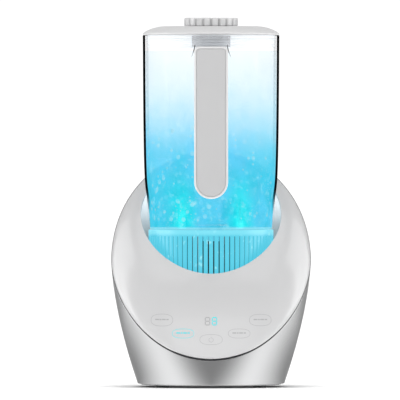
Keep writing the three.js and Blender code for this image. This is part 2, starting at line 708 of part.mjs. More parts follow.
// The grooved plug that goes down into the mouth of the tank.
function lidPlug() {
  const [groove, skirt] = [PLUG_RADIUS - 2.6, PLUG_RADIUS - 4.6];
  const [plateZ, grooveLow, grooveHigh] = [331, 327.9, 331.1];
  const outline = [[CAP_HOLE, plateZ], [skirt, plateZ], [skirt, PLUG_BOTTOM_Z], [PLUG_RADIUS, PLUG_BOTTOM_Z],
    [PLUG_RADIUS, grooveLow], [groove, grooveLow], [groove, grooveHigh], [PLUG_RADIUS, grooveHigh],
    [PLUG_RADIUS, JAR_TOP_Z], [CAP_HOLE, JAR_TOP_Z]];
  return turned(outline, 0, TANK_Y, ROUND);
}

function lidGasket() {
  const [radius, z, halfWidth, halfHeight] = [60, 329.5, 1.5, 1.3];
  const outline = [];
  for (let i = 0; i < 6; i += 1) {
    const angle = (Math.PI * i) / 3;
    outline.push([radius + halfWidth * Math.cos(angle), z + halfHeight * Math.sin(angle)]);
  }
  return turned(outline, 0, TANK_Y, ROUND);
}

// The fluted cap that turns to aim the mist, with a spigot down through the lid.
function mistNozzle() {
  const low = LID_TOP_Z + GAP;
  const [rim, groove, dish] = [NOZZLE_RADIUS, NOZZLE_RADIUS - NOZZLE_FLUTE_DEPTH, NOZZLE_TOP_Z - 2];
  const flutes = new THREE.Shape();
  const corners = [[0, groove], [0.12, groove], [0.24, rim], [0.88, rim]]; // share of one flute, radius
  for (let i = 0; i < NOZZLE_FLUTES; i += 1) {
    for (const [share, radius] of corners) {
      const angle = (2 * Math.PI * (i + share)) / NOZZLE_FLUTES;
      const point = [radius * Math.sin(angle), radius * Math.cos(angle)];
      if (i + share === 0) flutes.moveTo(...point);
      else flutes.lineTo(...point);
    }
  }
  const wheel = new THREE.ExtrudeGeometry(flutes, { depth: NOZZLE_TOP_Z - low, bevelEnabled: false });
  const crownOutline = [[0, low - 1], [rim + 1, low - 1], [rim + 1, NOZZLE_TOP_Z - 2.6],
    [rim - 1.4, NOZZLE_TOP_Z], [14, NOZZLE_TOP_Z], [11, dish], [0, dish]];
  const crown = turned(crownOutline, 0, 0, 20);
  const spigot = ring(SPIGOT.outer, SPIGOT.inner, 328, low + 1, 0, 0, 20);
  const hollow = rod(SPIGOT.inner, low - 1, NOZZLE_TOP_Z - 4.4, 0, 0, 20);
  const cap = join(cut(solidOf(wheel.translate(0, 0, low)).intersect(crown), hollow), spigot);
  return cut(cap, outlet()).translate([0, TANK_Y, 0]);
}

// The long round-ended hole, towards the front, that the mist leaves by.
function outlet() {
  const [halfLength, y, radius] = [5, -4.5, 3.4];
  const mouth = new THREE.Shape();
  mouth.absarc(-halfLength, y, radius, Math.PI / 2, 1.5 * Math.PI, false);
  mouth.absarc(halfLength, y, radius, -Math.PI / 2, Math.PI / 2, false);
  const through = new THREE.ExtrudeGeometry(mouth, { depth: 12, bevelEnabled: false, curveSegments: 8 });
  return solidOf(through.translate(0, 0, NOZZLE_TOP_Z - 8));
}

// Clip ring on the spigot that holds the cap, the lid and its plug together.
function nozzleRetainer() {
  return ring(16.5, SPIGOT.outer + GAP, 329, 331 - GAP, 0, TANK_Y, 20);
}

// ---------------------------------------------------------------- assembly

function finish(color, roughness, metalness = 0, opacity = 1) {
  return new THREE.MeshStandardMaterial({ color, roughness, metalness, opacity, transparent: opacity < 1 });
}

const finishes = {
  chrome: finish(0xc9cacc, 0.25, 1),
  white: finish(0xeff0f1, 0.2),
  grey: finish(0xc4c5c7, 0.35),
  clear: finish(0xe8f4f8, 0.05, 0, 0.3),
  cyan: finish(0x5fd8ee, 0.3, 0, 0.7),
  inner: finish(0xdfe2e4, 0.5),
  rubber: finish(0x222326, 0.8),
  silicone: finish(0xe6e9ea, 0.6),
  steel: finish(0xb4b7ba, 0.3, 1),
  board: finish(0x1f6b4a, 0.5),
  black: finish(0x26282b, 0.5),
  ceramic: finish(0xd8cfa8, 0.4),
};

const humidifier = new THREE.Group();

function add(name, solid, material, parent = humidifier) {
  const mesh = new THREE.Mesh(geometryOf(solid), finishes[material]);
  mesh.name = name;
  parent.add(mesh);
}

add('base_shell', baseShell(), 'chrome');
add('face_cover', faceCover(), 'white');
add('bottom_cover', bottomCover(), 'inner');
const corners = ['front_left', 'front_right', 'rear_left', 'rear_right'];
footPlaces().forEach(([x, y], i) => add(`foot_${corners[i]}`, foot(x, y), 'rubber'));
LEGS.forEach(([x, y], i) => add(`bottom_screw_${corners[i]}`, bottomScrew(x, y), 'steel'));

add('tank_well', tankWell(), 'inner');
add('transducer_disc', transducerDisc(), 'ceramic');
add('transducer_seal', transducerSeal(), 'silicone');
add('transducer_holder', transducerHolder(), 'steel');
add('mist_hood', mistHood(), 'inner');
add('water_float', waterFloat(), 'white');
add('float_clip', floatClip(), 'grey');
add('fan_housing', fanHousing(), 'black');
add('fan_rotor', fanRotor(), 'black');
add('air_duct', airDuct(), 'inner');
add('driver_board', driverBoard(), 'board');
add('heat_sink', heatSink(), 'steel');
add('led_board', ledBoard(), 'board');
add('light_pipe_left', lightPipe(-LIGHT.x), 'clear');
add('light_pipe_right', lightPipe(LIGHT.x), 'clear');
add('dc_jack', dcJack(), 'black');

const panel = onPanel();
humidifier.add(panel);
add('control_board', controlBoard(), 'board', panel);
add('display_module', displayModule(), 'black', panel);
for (const [key, place] of Object.entries(TOUCH_KEYS)) add(`touch_pad_${key}`, touchPad(place), 'steel', panel);

add('tank_jar', tankJar(), 'clear');
add('foot_grille', footGrille(), 'cyan');
add('mist_tube', mistTube(), 'clear');
add('tube_seal', tubeSeal(), 'silicone');
add('valve_seat', valveSeat(), 'inner');
add('valve_plunger', valvePlunger(), 'grey');
add('valve_gasket', valveGasket(), 'silicone');
add('valve_spring', valveSpring(), 'steel');
add('handle_body', handleBody(), 'white');
add('handle_face', handleFace(), 'grey');
HANDLE_SCREW_HEIGHTS.forEach((z, i) => add(`handle_screw_${['lower', 'upper'][i]}`, handleScrew(z), 'steel'));

add('lid_cover', lidCover(), 'white');
add('lid_plug', lidPlug(), 'inner');
add('lid_gasket', lidGasket(), 'silicone');
add('mist_nozzle', mistNozzle(), 'white');
add('nozzle_retainer', nozzleRetainer(), 'grey');

export default humidifier;
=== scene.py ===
"""Looks of the cool mist humidifier: smooth skins, clear tank, lit water and finishes on its CAD frame."""
import bisect
import math
import random

import bmesh
import bpy
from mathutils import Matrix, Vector


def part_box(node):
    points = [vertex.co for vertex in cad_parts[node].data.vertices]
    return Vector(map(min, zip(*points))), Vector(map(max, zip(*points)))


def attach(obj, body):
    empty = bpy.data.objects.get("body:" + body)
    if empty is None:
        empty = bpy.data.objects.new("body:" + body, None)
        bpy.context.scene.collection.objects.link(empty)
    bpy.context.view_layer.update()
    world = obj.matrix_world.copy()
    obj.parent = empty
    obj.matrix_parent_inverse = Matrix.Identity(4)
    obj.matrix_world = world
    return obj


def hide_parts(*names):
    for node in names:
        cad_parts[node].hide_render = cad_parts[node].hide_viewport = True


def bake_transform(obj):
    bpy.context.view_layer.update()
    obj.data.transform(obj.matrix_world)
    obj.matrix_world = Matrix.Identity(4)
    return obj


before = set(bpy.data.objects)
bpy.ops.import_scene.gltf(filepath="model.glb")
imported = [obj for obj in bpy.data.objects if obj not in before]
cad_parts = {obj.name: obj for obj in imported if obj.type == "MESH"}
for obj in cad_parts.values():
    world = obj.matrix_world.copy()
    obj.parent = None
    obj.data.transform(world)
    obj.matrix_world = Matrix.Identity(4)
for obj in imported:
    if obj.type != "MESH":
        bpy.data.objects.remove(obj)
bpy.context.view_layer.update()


def centre_of(node):
    low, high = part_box(node)
    return (low + high) / 2


# ---------------- driving dimensions, in metres

MM = 0.001
SQUARE = ((-1, -1), (1, -1), (1, 1), (-1, 1))
WALL = 2.5 * MM
GAP = 0.3 * MM
FACE_LIP = 1.4 * MM  # how far the face's front edge reaches in over the well
AROUND = 192  # steps round the large turned pieces

BODY_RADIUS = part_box("base_shell")[1].x
BODY_WIDEST_Z = 123 * MM
BODY_BOTTOM_RADIUS = 69.6 * MM
BODY_BOTTOM_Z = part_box("base_shell")[0].z
BODY_TAPER_POWER = 1.62
BODY_TOP_DRAFT = 2 * MM

PARTING_LOW_Y = -77.5 * MM
PARTING_LOW_Z = 26.7 * MM
PARTING_SLOPE = 1.154
PARTING_BOW = 3.4 * MM
PARTING_MIDDLE_Y = 8 * MM
PARTING_HALF_Y = 85.5 * MM
PARTING_REACH = 110 * MM  # the parting edge lies within this distance of the middle
OPENING_Z = (88 * MM, 226 * MM)  # the opening's edge lies between these heights
FACE_WALL = 2.6 * MM
FACE_FULLNESS = 2.3
FACE_EDGE_STEP = 0.45 * MM  # the shell's rim stands this much proud of the face
SHADOW_GAP = 0.9 * MM  # the dark line between the face and the shell
FACE_FRONT = [(-77.5, 26.7), (-66.3, 109.4), (-6.8, 148.7), (40, 184.5)]  # y, z of two Beziers, in mm
FACE_TOP = [(40, 184.5), (62, 201.3), (84, 221.5), (93.6, 224)]

JAR_LOW, JAR_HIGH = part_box("tank_jar")
TANK_Y = (JAR_LOW.y + JAR_HIGH.y) / 2
WELL_RADIUS = 66.5 * MM
WELL_FLOOR_Z = 96.5 * MM
BASIN_RADIUS = 50 * MM
BASIN_FLOOR_Z = 60 * MM
JAR_WALL = 3 * MM
WATER_INSET = 0.9 * MM  # a filled tank looks full to its outer skin, because the wall bends the light
JAR_OUTLINE = [(58.9, 152), (60.6, 176), (63.2, 199), (64.4, 250), (65, 334)]  # radius, z in mm
WATER_LEVEL_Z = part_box("lid_plug")[0].z - 3 * MM
COMB_LOW, COMB_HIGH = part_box("foot_grille")
COMB_RADIUS = (COMB_HIGH.x - COMB_LOW.x) / 2
COMB_THICKNESS = 3.8 * MM
COMB_SLOTS = 72
COMB_SLOT_WIDTH = 1.3 * MM
COMB_SLOT_Z = (102 * MM, 143.5 * MM)
KEY_WIDTH = 20.5 * MM
KEY_HEIGHTS = {"timer": 8.6 * MM, "level": 8.6 * MM, "light": 11.2 * MM, "ion": 10.8 * MM}
POWER_KEY = (21.2 * MM, 9.5 * MM)
DASH_WIDTHS = (3.6 * MM, 1.6 * MM, 3.6 * MM, 2.2 * MM)
LIGHT_X, LIGHT_Y = centre_of("light_pipe_right").xy
JACK_HOLE_RADIUS = 5.6 * MM
VALVE_Y = centre_of("valve_seat").y
BUBBLES = 320
BUBBLE_SIZES = (0.5, 0.6, 0.8, 1.0, 1.3, 1.7, 2.2)  # radii in mm
BUBBLE_RISE = 92 * MM  # how high over the tank's floor the bubbles are seen
BEAM_HEIGHT = 38 * MM
BEAM_SHELLS = (1.0, 0.78, 0.56, 0.34)  # a beam is brighter in its middle, where more shells overlap
BEAM_FORWARD = 22 * MM  # how far in front of the light pipes the beams are drawn
GRIP_TOP_Z = 322.8 * MM
GRIP_HALF_WIDTH = 16 * MM
GRIP_CORNER = 5 * MM
ARM_Z = (290 * MM, 297 * MM, 299.5 * MM, 322.5 * MM)  # its slanted underside, its foot and its top
COLLAR_SHADE_Z = (323 * MM, 333 * MM)  # the collar's painted shade deepens over this stretch
# place between the tank's floor and the water's surface, and how much the water hides there
WATER_COVER = [(0.0, 0.82), (0.43, 0.80), (0.54, 0.55), (0.67, 0.36), (0.80, 0.21), (1.0, 0.06)]
FLUTES = 20
FLUTE_DEPTH = 2.4 * MM
CAP_RADIUS = 25.7 * MM

LINER_SHADE_Z = (100 * MM, 162 * MM)  # the liner turns from grey to white over this stretch
LINER_GLOW_Z = (146 * MM, 180 * MM)  # and starts to catch the tank's light over this one
WALL_EDGE_Z = (162 * MM, 188 * MM)  # the tank's painted dark outline fades in over this stretch, going up
PIPE_PALE_Z = 290 * MM  # the mist pipe is bluest at its foot and pale from here up

VIEW_WIDTH = 0.38
VIEW_CENTRE = Vector((-0.0105, 0, 0.1773))
CAMERA_DISTANCE = 12
CAMERA_RISE = math.radians(0.5)
PAPER_WHITE = 1.08  # radiance of the floor and of the backdrop
FLOOR_ALBEDO = 0.5
WORLD_STRENGTH = 0.5
GLOSS_WORLD_STRENGTH = 0.32
FLOOR_MATCH = 1.045  # brings the lit floor to the backdrop's white
CARD_STRENGTH = 2.2
# degrees from the front, and how bright the floor's reflection is
FANS = [(0, 0.23), (12, 0.36), (25, 0.80), (38, 1.08), (56, 0.86), (77, 0.45), (98, 0.24), (118, 0.28),
        (138, 0.95), (155, 0.75), (180, 0.40)]
SOFTBOXES = (
    ("softbox_left", (-0.95, -0.12, 0.35), (0.35, 1.3), 1.1),
    ("softbox_right", (0.95, -0.12, 0.35), (0.35, 1.3), 1.1),
    ("softbox_front", (0, -2.0, 1.0), (1.6, 1.2), 6),
    ("softbox_top", (0, -0.1, 1.7), (1.2, 1.2), 5),
)


# ---------------- form of the base

def solve(rising, low, high):
    """Where the rising function is zero."""
    for _ in range(36):
        middle = (low + high) / 2
        if rising(middle) > 0:
            high = middle
        else:
            low = middle
    return (low + high) / 2


def body_radius(z):
    if z > BODY_WIDEST_Z:
        return BODY_RADIUS - BODY_TOP_DRAFT * ((z - BODY_WIDEST_Z) / (100 * MM)) ** 2
    share = (BODY_WIDEST_Z - max(z, BODY_BOTTOM_Z)) / (BODY_WIDEST_Z - BODY_BOTTOM_Z)
    return BODY_RADIUS - (BODY_RADIUS - BODY_BOTTOM_RADIUS) * share ** BODY_TAPER_POWER


def parting_z(y):
    bow = PARTING_BOW * (1 - ((y - PARTING_MIDDLE_Y) / PARTING_HALF_Y) ** 2)
    return PARTING_LOW_Z + PARTING_SLOPE * (y - PARTING_LOW_Y) + bow


def bezier(points, t):
    """Point and tangent of a cubic Bezier of (y, z) points in millimetres, in metres."""
    p = [Vector(point) * MM for point in points]
    s = 1 - t
    place = p[0] * s ** 3 + p[1] * 3 * s * s * t + p[2] * 3 * s * t * t + p[3] * t ** 3
    along = (p[1] - p[0]) * s * s + (p[2] - p[1]) * 2 * s * t + (p[3] - p[2]) * t * t
    return place, along.normalized()


def middle_line(inset, steps=160):
    """The face's middle line, moved inward by inset, as rising (z, y) pairs."""
    line = []
    for stretch in (FACE_FRONT, FACE_TOP):
        for i in range(steps + 1):
            place, along = bezier(stretch, i / steps)
            line.append((place.y - along.x * inset, place.x + along.y * inset))
    return line


def between(table, x):
    """Linear reading of a table of rising (x, y) pairs, carried on flat past its ends."""
    after = bisect.bisect_right(table, (x, math.inf))
    if after == 0:
        return table[0][1]
    if after == len(table):
        return table[-1][1]
    (x0, y0), (x1, y1) = table[after - 1], table[after]
    return y0 + (y1 - y0) * (x - x0) / max(x1 - x0, 1e-12)


PARTING_STEPS = 400
PARTING_YS = [PARTING_REACH * (2 * i / PARTING_STEPS - 1) for i in range(PARTING_STEPS + 1)]
PARTING_TABLE = [(parting_z(y), y) for y in PARTING_YS]
MIDDLE_LINES = {}


def face_y(x, z, inset=0.0):
    """How far back the face lies at (x, z) in a front view."""
    if inset not in MIDDLE_LINES:
        MIDDLE_LINES[inset] = middle_line(inset)
    parting = between(PARTING_TABLE, z)
    half = math.sqrt(max((body_radius(z) - inset) ** 2 - parting ** 2, 1e-12))
    bulge = max(0.00002, parting - between(MIDDLE_LINES[inset], z))
    share = max(0.0, 1 - (abs(x) / half) ** FACE_FULLNESS)
    return parting - bulge * share ** (1 / FACE_FULLNESS)


def parting_point(turn, inset=0.0):
    """Point of the parting edge; turn 0 is the front and pi the back."""
    low = solve(lambda y: body_radius(parting_z(y)) - inset + y, -PARTING_REACH, -30 * MM)
    high = solve(lambda y: y - body_radius(parting_z(y)) + inset, 30 * MM, PARTING_REACH)
    y = (low + high) / 2 - (high - low) / 2 * math.cos(turn)
    z = parting_z(y)
    x = math.sqrt(max((body_radius(z) - inset) ** 2 - y ** 2, 0))
    return Vector((math.copysign(x, math.sin(turn)), y, z))


def opening_point(turn, inset=0.0, radius=WELL_RADIUS):
    """Where a vertical cylinder round the tank's axis meets the face."""
    x = radius * math.sin(turn)
    y = TANK_Y - radius * math.cos(turn)
    return Vector((x, y, solve(lambda z: face_y(x, z, inset) - y, *OPENING_Z)))


# ---------------- building meshes

def resampled(line, start, end, count):
    """A polyline without its first and last stretches, as count evenly spaced points."""
    reach = [0.0]
    for a, b in zip(line, line[1:]):
        reach.append(reach[-1] + (b - a).length)
    start, end = (min(trim, 0.45 * reach[-1]) for trim in (start, end))
    points = []
    at = 0
    for i in range(count):
        target = start + (reach[-1] - start - end) * i / (count - 1)
        while at < len(line) - 2 and reach[at + 1] < target:
            at += 1
        share = (target - reach[at]) / max(reach[at + 1] - reach[at], 1e-12)
        points.append(line[at].lerp(line[at + 1], share))
    return points


def eased(before, corner, after, arc):
    """A round corner as points from one side of it to the other."""
    points = []
    for k in range(arc + 1):
        t = k / arc
        points.append(before * (1 - t) ** 2 + corner * 2 * t * (1 - t) + after * t * t)
    return points


def closed_loop(outer, inner, radii, counts, arc=4):
    """One loop out along a line and back along another, its four corners rounded by the radii."""
    lines = [outer, [outer[-1], inner[0]], inner, [inner[-1], outer[0]]]
    cuts = [resampled(line, radii[i - 1], radii[i], counts[i]) for i, line in enumerate(lines)]
    loop = []
    for i, line in enumerate(lines):
        loop += cuts[i] + eased(cuts[i][-1], line[-1], cuts[(i + 1) % 4][0], arc)[1:-1]
    return loop


def loft(rings, wrap=True):
    """Vertices and faces through equal closed rings, joined end to end or capped."""
    count = len(rings[0])
    verts = [point for ring in rings for point in ring]
    faces = []
    for i in range(len(rings) if wrap else len(rings) - 1):
        a, b = i * count, ((i + 1) % len(rings)) * count
        for k in range(count):
            n = (k + 1) % count
            faces.append((a + k, a + n, b + n, b + k))
    if not wrap:
        last = (len(rings) - 1) * count
        faces.append(tuple(range(count))[::-1])
        faces.append(tuple(last + k for k in range(count)))
    return verts, faces


def rounded(outline, radius, arc=4, axis=True):
    """A closed outline with its corners rounded, apart from those on the axis that it is turned about."""
    loop = []
    for i, corner in enumerate(outline):
        before, after = outline[i - 1], outline[(i + 1) % len(outline)]
        reach = min(radius, 0.45 * (corner - before).length, 0.45 * (after - corner).length)
        if axis and corner.x < 1e-6 or reach < 1e-6:
            loop.append(corner)
            continue
        start = corner + (before - corner).normalized() * reach
        end = corner + (after - corner).normalized() * reach
        loop += eased(start, corner, end, arc)
    return loop


def stood(loop, turn, x=0.0, y=TANK_Y):
    """A loop of (radius, z) points stood at a turn about a vertical axis, the tank's if none is given."""
    return [Vector((x + p.x * math.sin(turn), y - p.x * math.cos(turn), p.y)) for p in loop]


def turned(outline, x=0.0, y=TANK_Y, radius=0.3, steps=64):
    """A closed outline of (radius, z) in millimetres, rounded and turned about a vertical axis."""
    loop = rounded([Vector((r * MM, z * MM)) for r, z in outline], radius * MM)
    return loft([stood(loop, turn, x, y) for turn in turns(steps)])


def turns(count, shift=0.0):
    """Evenly spaced turns round a full circle."""
    return [2 * math.pi * (i + shift) / count for i in range(count)]


def circle(radius, start=0.0, end=360.0, steps=16):
    """Points of a circle or an arc, its angles in degrees."""
    turns = [math.radians(start + (end - start) * i / steps) for i in range(steps + 1)]
    if end - start == 360:
        turns.pop()
    return [Vector((math.cos(a), math.sin(a))) * radius for a in turns]


def gathered(*parts):
    verts, faces = [], []
    for part_verts, part_faces in parts:
        base = len(verts)
        verts += part_verts
        faces += [tuple(base + k for k in face) for face in part_faces]
    return verts, faces


def bevelled(part, width):
    """The part with its edges rounded."""
    shape = bmesh.new()
    made = [shape.verts.new(v) for v in part[0]]
    for face in part[1]:
        shape.faces.new([made[k] for k in face])
    bmesh.ops.recalc_face_normals(shape, faces=shape.faces)
    sharp = [e for e in shape.edges if len(e.link_faces) == 2 and e.calc_face_angle() > math.radians(30)]
    bmesh.ops.bevel(shape, geom=sharp, offset=width, segments=4, profile=0.5, affect="EDGES")
    shape.verts.index_update()
    result = ([v.co.copy() for v in shape.verts], [tuple(v.index for v in f.verts) for f in shape.faces])
    shape.free()
    return result


def prism(outline, low, high):
    """A convex (x, y) outline carried from low to high."""
    return loft([[Vector((p[0], p[1], z)) for p in outline] for z in (low, high)], wrap=False)


def object_of(name, part):
    mesh = bpy.data.meshes.new(name)
    mesh.from_pydata([tuple(v) for v in part[0]], [], part[1])
    shape = bmesh.new()
    shape.from_mesh(mesh)
    bmesh.ops.remove_doubles(shape, verts=shape.verts, dist=0.000002)
    bmesh.ops.recalc_face_normals(shape, faces=shape.faces)
    shape.to_mesh(mesh)
    shape.free()
    mesh.shade_smooth()
    mesh.set_sharp_from_angle(angle=math.radians(38))
    made = bpy.data.objects.new(name, mesh)
    bpy.context.scene.collection.objects.link(made)
    return made


def piece(name, part, body, slot, replaced=(), look=None):
    """A visible piece that rides on a body, with its finish, standing for the CAD nodes named."""
    made = object_of(name, part)
    made.data.materials.append(LOOKS[look or slot])
    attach(made, body)
    if replaced:
        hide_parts(*replaced)
    return made


def carve(made, part):
    """Cuts a closed part out of a piece."""
    cutter = object_of(made.name + "_cutter", part)
    change = made.modifiers.new("cut", "BOOLEAN")
    change.operation = "DIFFERENCE"
    change.solver = "EXACT"
    change.object = cutter
    graph = bpy.context.evaluated_depsgraph_get()
    mesh = bpy.data.meshes.new_from_object(made.evaluated_get(graph))
    made.modifiers.clear()
    made.data = mesh
    mesh.set_sharp_from_angle(angle=math.radians(38))
    bpy.data.objects.remove(cutter)
    return made


def shadowless(made):
    """Lit pieces throw no shadow and light nothing round them."""
    made.visible_shadow = False
    made.visible_diffuse = False


# ---------------- materials

class Look:
    """A node material built a node at a time."""

    def __init__(self, name="look"):
        self.material = bpy.data.materials.new(name)
        self.material.use_nodes = True
        self.tree = self.material.node_tree
        self.tree.nodes.clear()
        self.out = self.tree.nodes.new("ShaderNodeOutputMaterial")
        self.place = self.tree.nodes.new("ShaderNodeTexCoord").outputs["Object"]

    def node(self, kind, inputs=None, **settings):
        made = self.tree.nodes.new("ShaderNode" + kind)
        for key, value in settings.items():
            setattr(made, key, value)
        for key, value in (inputs or {}).items():
            if isinstance(value, bpy.types.NodeSocket):
                self.tree.links.new(value, made.inputs[key])
            else:
                made.inputs[key].default_value = value
        return made

    def maths(self, operation, a, b=0.0, clamp=False):
        return self.node("Math", {0: a, 1: b}, operation=operation, use_clamp=clamp).outputs[0]

    def ramp(self, value, low, high, start=0.0, end=1.0, smooth=True):
        kind = "SMOOTHSTEP" if smooth else "LINEAR"
        inputs = {"Value": value, "From Min": low, "From Max": high, "To Min": start, "To Max": end}
        return self.node("MapRange", inputs, interpolation_type=kind).outputs[0]

    def noise(self, scale, detail=3.0, stretch=(1, 1, 1)):
        where = self.node("Mapping", {"Vector": self.place, "Scale": stretch}).outputs[0]
        return self.node("TexNoise", {"Vector": where, "Scale": scale, "Detail": detail}).outputs["Fac"]

    def colours(self, value, first, second):
        mix = self.node("Mix", {0: value}, data_type="RGBA")
        for socket, colour in ((mix.inputs[6], first), (mix.inputs[7], second)):
            if isinstance(colour, bpy.types.NodeSocket):
                self.tree.links.new(colour, socket)
            else:
                socket.default_value = (*colour, 1)
        return mix.outputs[2]

    def bump(self, height, strength, distance=0.0002):
        return self.node("Bump", {"Height": height, "Strength": strength, "Distance": distance}).outputs[0]

    def shader(self, **inputs):
        return self.node("BsdfPrincipled", {k.replace("_", " "): v for k, v in inputs.items()}).outputs[0]

    def mix(self, share, first, second):
        return self.node("MixShader", {0: share, 1: first, 2: second}).outputs[0]

    def height(self):
        return self.node("SeparateXYZ", {0: self.place}).outputs[2]

    def curve(self, value, stops, spline=False):
        """A grey value read from (place, value) stops."""
        made = self.node("ValToRGB", {"Fac": value})
        ramp = made.color_ramp
        if spline:
            ramp.interpolation = "B_SPLINE"
        while len(ramp.elements) < len(stops):
            ramp.elements.new(0.5)
        for element, (at, grey) in zip(ramp.elements, stops):
            element.position = at
            element.color = (grey, grey, grey, 1)
        return made.outputs[0]

    def skin(self, colour, roughness, grain=None, light=None, strength=0.0):
        """An opaque surface with a grain of (scale, strength), and with light of its own if it is given."""
        inputs = {"Base Color": colour, "Roughness": roughness}
        if grain:
            inputs["Normal"] = self.bump(self.noise(grain[0]), grain[1])
        if light is not None:
            inputs.update({"Emission Color": light, "Emission Strength": strength})
        return self.done(self.node("BsdfPrincipled", inputs).outputs[0])

    def glow(self, cover, colour, strength):
        """Light that covers what is behind it by a share."""
        light = self.node("Emission", {"Color": colour, "Strength": strength}).outputs[0]
        clear = self.node("BsdfTransparent", {"Color": (1, 1, 1, 1)}).outputs[0]
        return self.done(self.mix(cover, clear, light))

    def done(self, shader):
        self.tree.links.new(shader, self.out.inputs["Surface"])
        return self.material


def around(colour, below, above):
    """The colour darkened and lightened by two shares."""
    return [c * (1 - below) for c in colour], [min(1, c * (1 + above)) for c in colour]


def moulded(colour, roughness, grain=0.05, coat=0.0, variation=0.03, polish=None):
    """Moulded plastic or rubber: slight colour and gloss variation, and a fine grain.

    A polish gives a gloss that is the same at every angle, so that a pale edge stays off a pale backdrop.
    """
    look = Look()
    shade = look.colours(look.noise(14), *around(colour, variation, variation))
    rough = look.ramp(look.noise(120), 0.3, 0.7, roughness * 0.88, roughness * 1.12)
    normal = look.bump(look.noise(900), grain)
    body = look.shader(Base_Color=shade, Roughness=rough, Normal=normal, Coat_Weight=coat,
                       Coat_Roughness=0.06, Specular_IOR_Level=0.5 if polish is None else 0.0)
    if polish is None:
        return look.done(body)
    even = look.node("BsdfGlossy", {"Color": (1, 1, 1, 1), "Roughness": 0.16, "Normal": normal}).outputs[0]
    return look.done(look.mix(polish, body, even))


def brushed(colour, roughness, stretch, contrast=1.0):
    """Metal with fine brush lines along the two axes that aren't stretched."""
    look = Look()
    lines = look.noise(30, 6, stretch)
    shade = look.colours(lines, *around(colour, 0.05 * contrast, 0.04 * contrast))
    rough = look.ramp(lines, 0.3, 0.7, roughness * (1 - 0.15 * contrast), roughness * (1 + 0.2 * contrast))
    return look.done(look.shader(Base_Color=shade, Metallic=1.0, Roughness=rough,
                                 Normal=look.bump(lines, 0.03 * contrast)))


def clear_wall(edge=1.0, edge_z=None, shine=0.06, tint=(0.99, 0.995, 1.0)):
    """Clear plastic: open where it is seen straight on, with a painted dark edge where the sight line runs
    along the wall.
    """
    look = Look()
    facing = look.node("LayerWeight", {"Blend": 0.5}).outputs["Facing"]
    dark = look.ramp(facing, 0.722, 0.746, 0.0, edge)
    if edge_z:
        dark = look.maths("MULTIPLY", dark, look.ramp(look.height(), *edge_z))
    rough = look.ramp(look.noise(40), 0.3, 0.7, 0.02, 0.05)
    gloss = look.node("BsdfGlossy", {"Color": (1, 1, 1, 1), "Roughness": rough}).outputs[0]
    mirror = look.maths("MULTIPLY", look.node("Fresnel", {"IOR": 1.45}).outputs[0], shine)
    open_wall = look.node("BsdfTransparent", {"Color": (*tint, 1)}).outputs[0]
    # a near-black skin mixed in at grazing sight lines: a painted dark edge, standing for the dark
    # surroundings that the thick wall bends into view
    painted_dark_edge = look.shader(Base_Color=(0.003, 0.003, 0.004, 1), Roughness=0.5, Specular_IOR_Level=0.0)
    return look.done(look.mix(dark, look.mix(mirror, open_wall, gloss), painted_dark_edge))


def painted_shade_wall():
    """Clear plastic with a grey of painted shade, which shows most of what is behind it, more so towards its
    lower edge.
    """
    look = Look()
    open_wall = look.node("BsdfTransparent", {"Color": (0.92, 0.92, 0.93, 1)}).outputs[0]
    grey = look.shader(Base_Color=(0.42, 0.42, 0.43, 1), Roughness=0.4,
                       Normal=look.bump(look.noise(300), 0.05))
    share = look.ramp(look.height(), *COLLAR_SHADE_Z, 0.08, 0.27)
    return look.done(look.mix(share, open_wall, grey))


def frosted():
    """Frosted clear plastic, faintly lit by the light of the tank round it."""
    look = Look()
    rise = look.ramp(look.height(), JAR_LOW.z, PIPE_PALE_Z)
    deep = look.colours(look.noise(60), (0.10, 0.50, 0.66), (0.16, 0.58, 0.74))
    shade = look.colours(rise, deep, (0.74, 0.86, 0.92))
    light = look.colours(rise, (0.05, 0.6, 0.85), (0.5, 0.8, 0.9))
    return look.skin(shade, 0.45, (500, 0.1), light, 0.28)


def lit_plug():
    """White plastic that catches some light from the water under it."""
    look = Look()
    shade = look.colours(look.noise(40), (0.86, 0.87, 0.88), (0.90, 0.905, 0.91))
    return look.skin(shade, 0.45, (600, 0.04), (0.93, 0.98, 1.0, 1), 0.22)


def lit_mark():
    """Cyan light that shines through the face, a little uneven."""
    look = Look()
    shade = look.colours(look.noise(400), (0.04, 0.60, 0.66), (0.06, 0.68, 0.74))
    return look.skin(shade, 0.5, None, shade, 0.30)


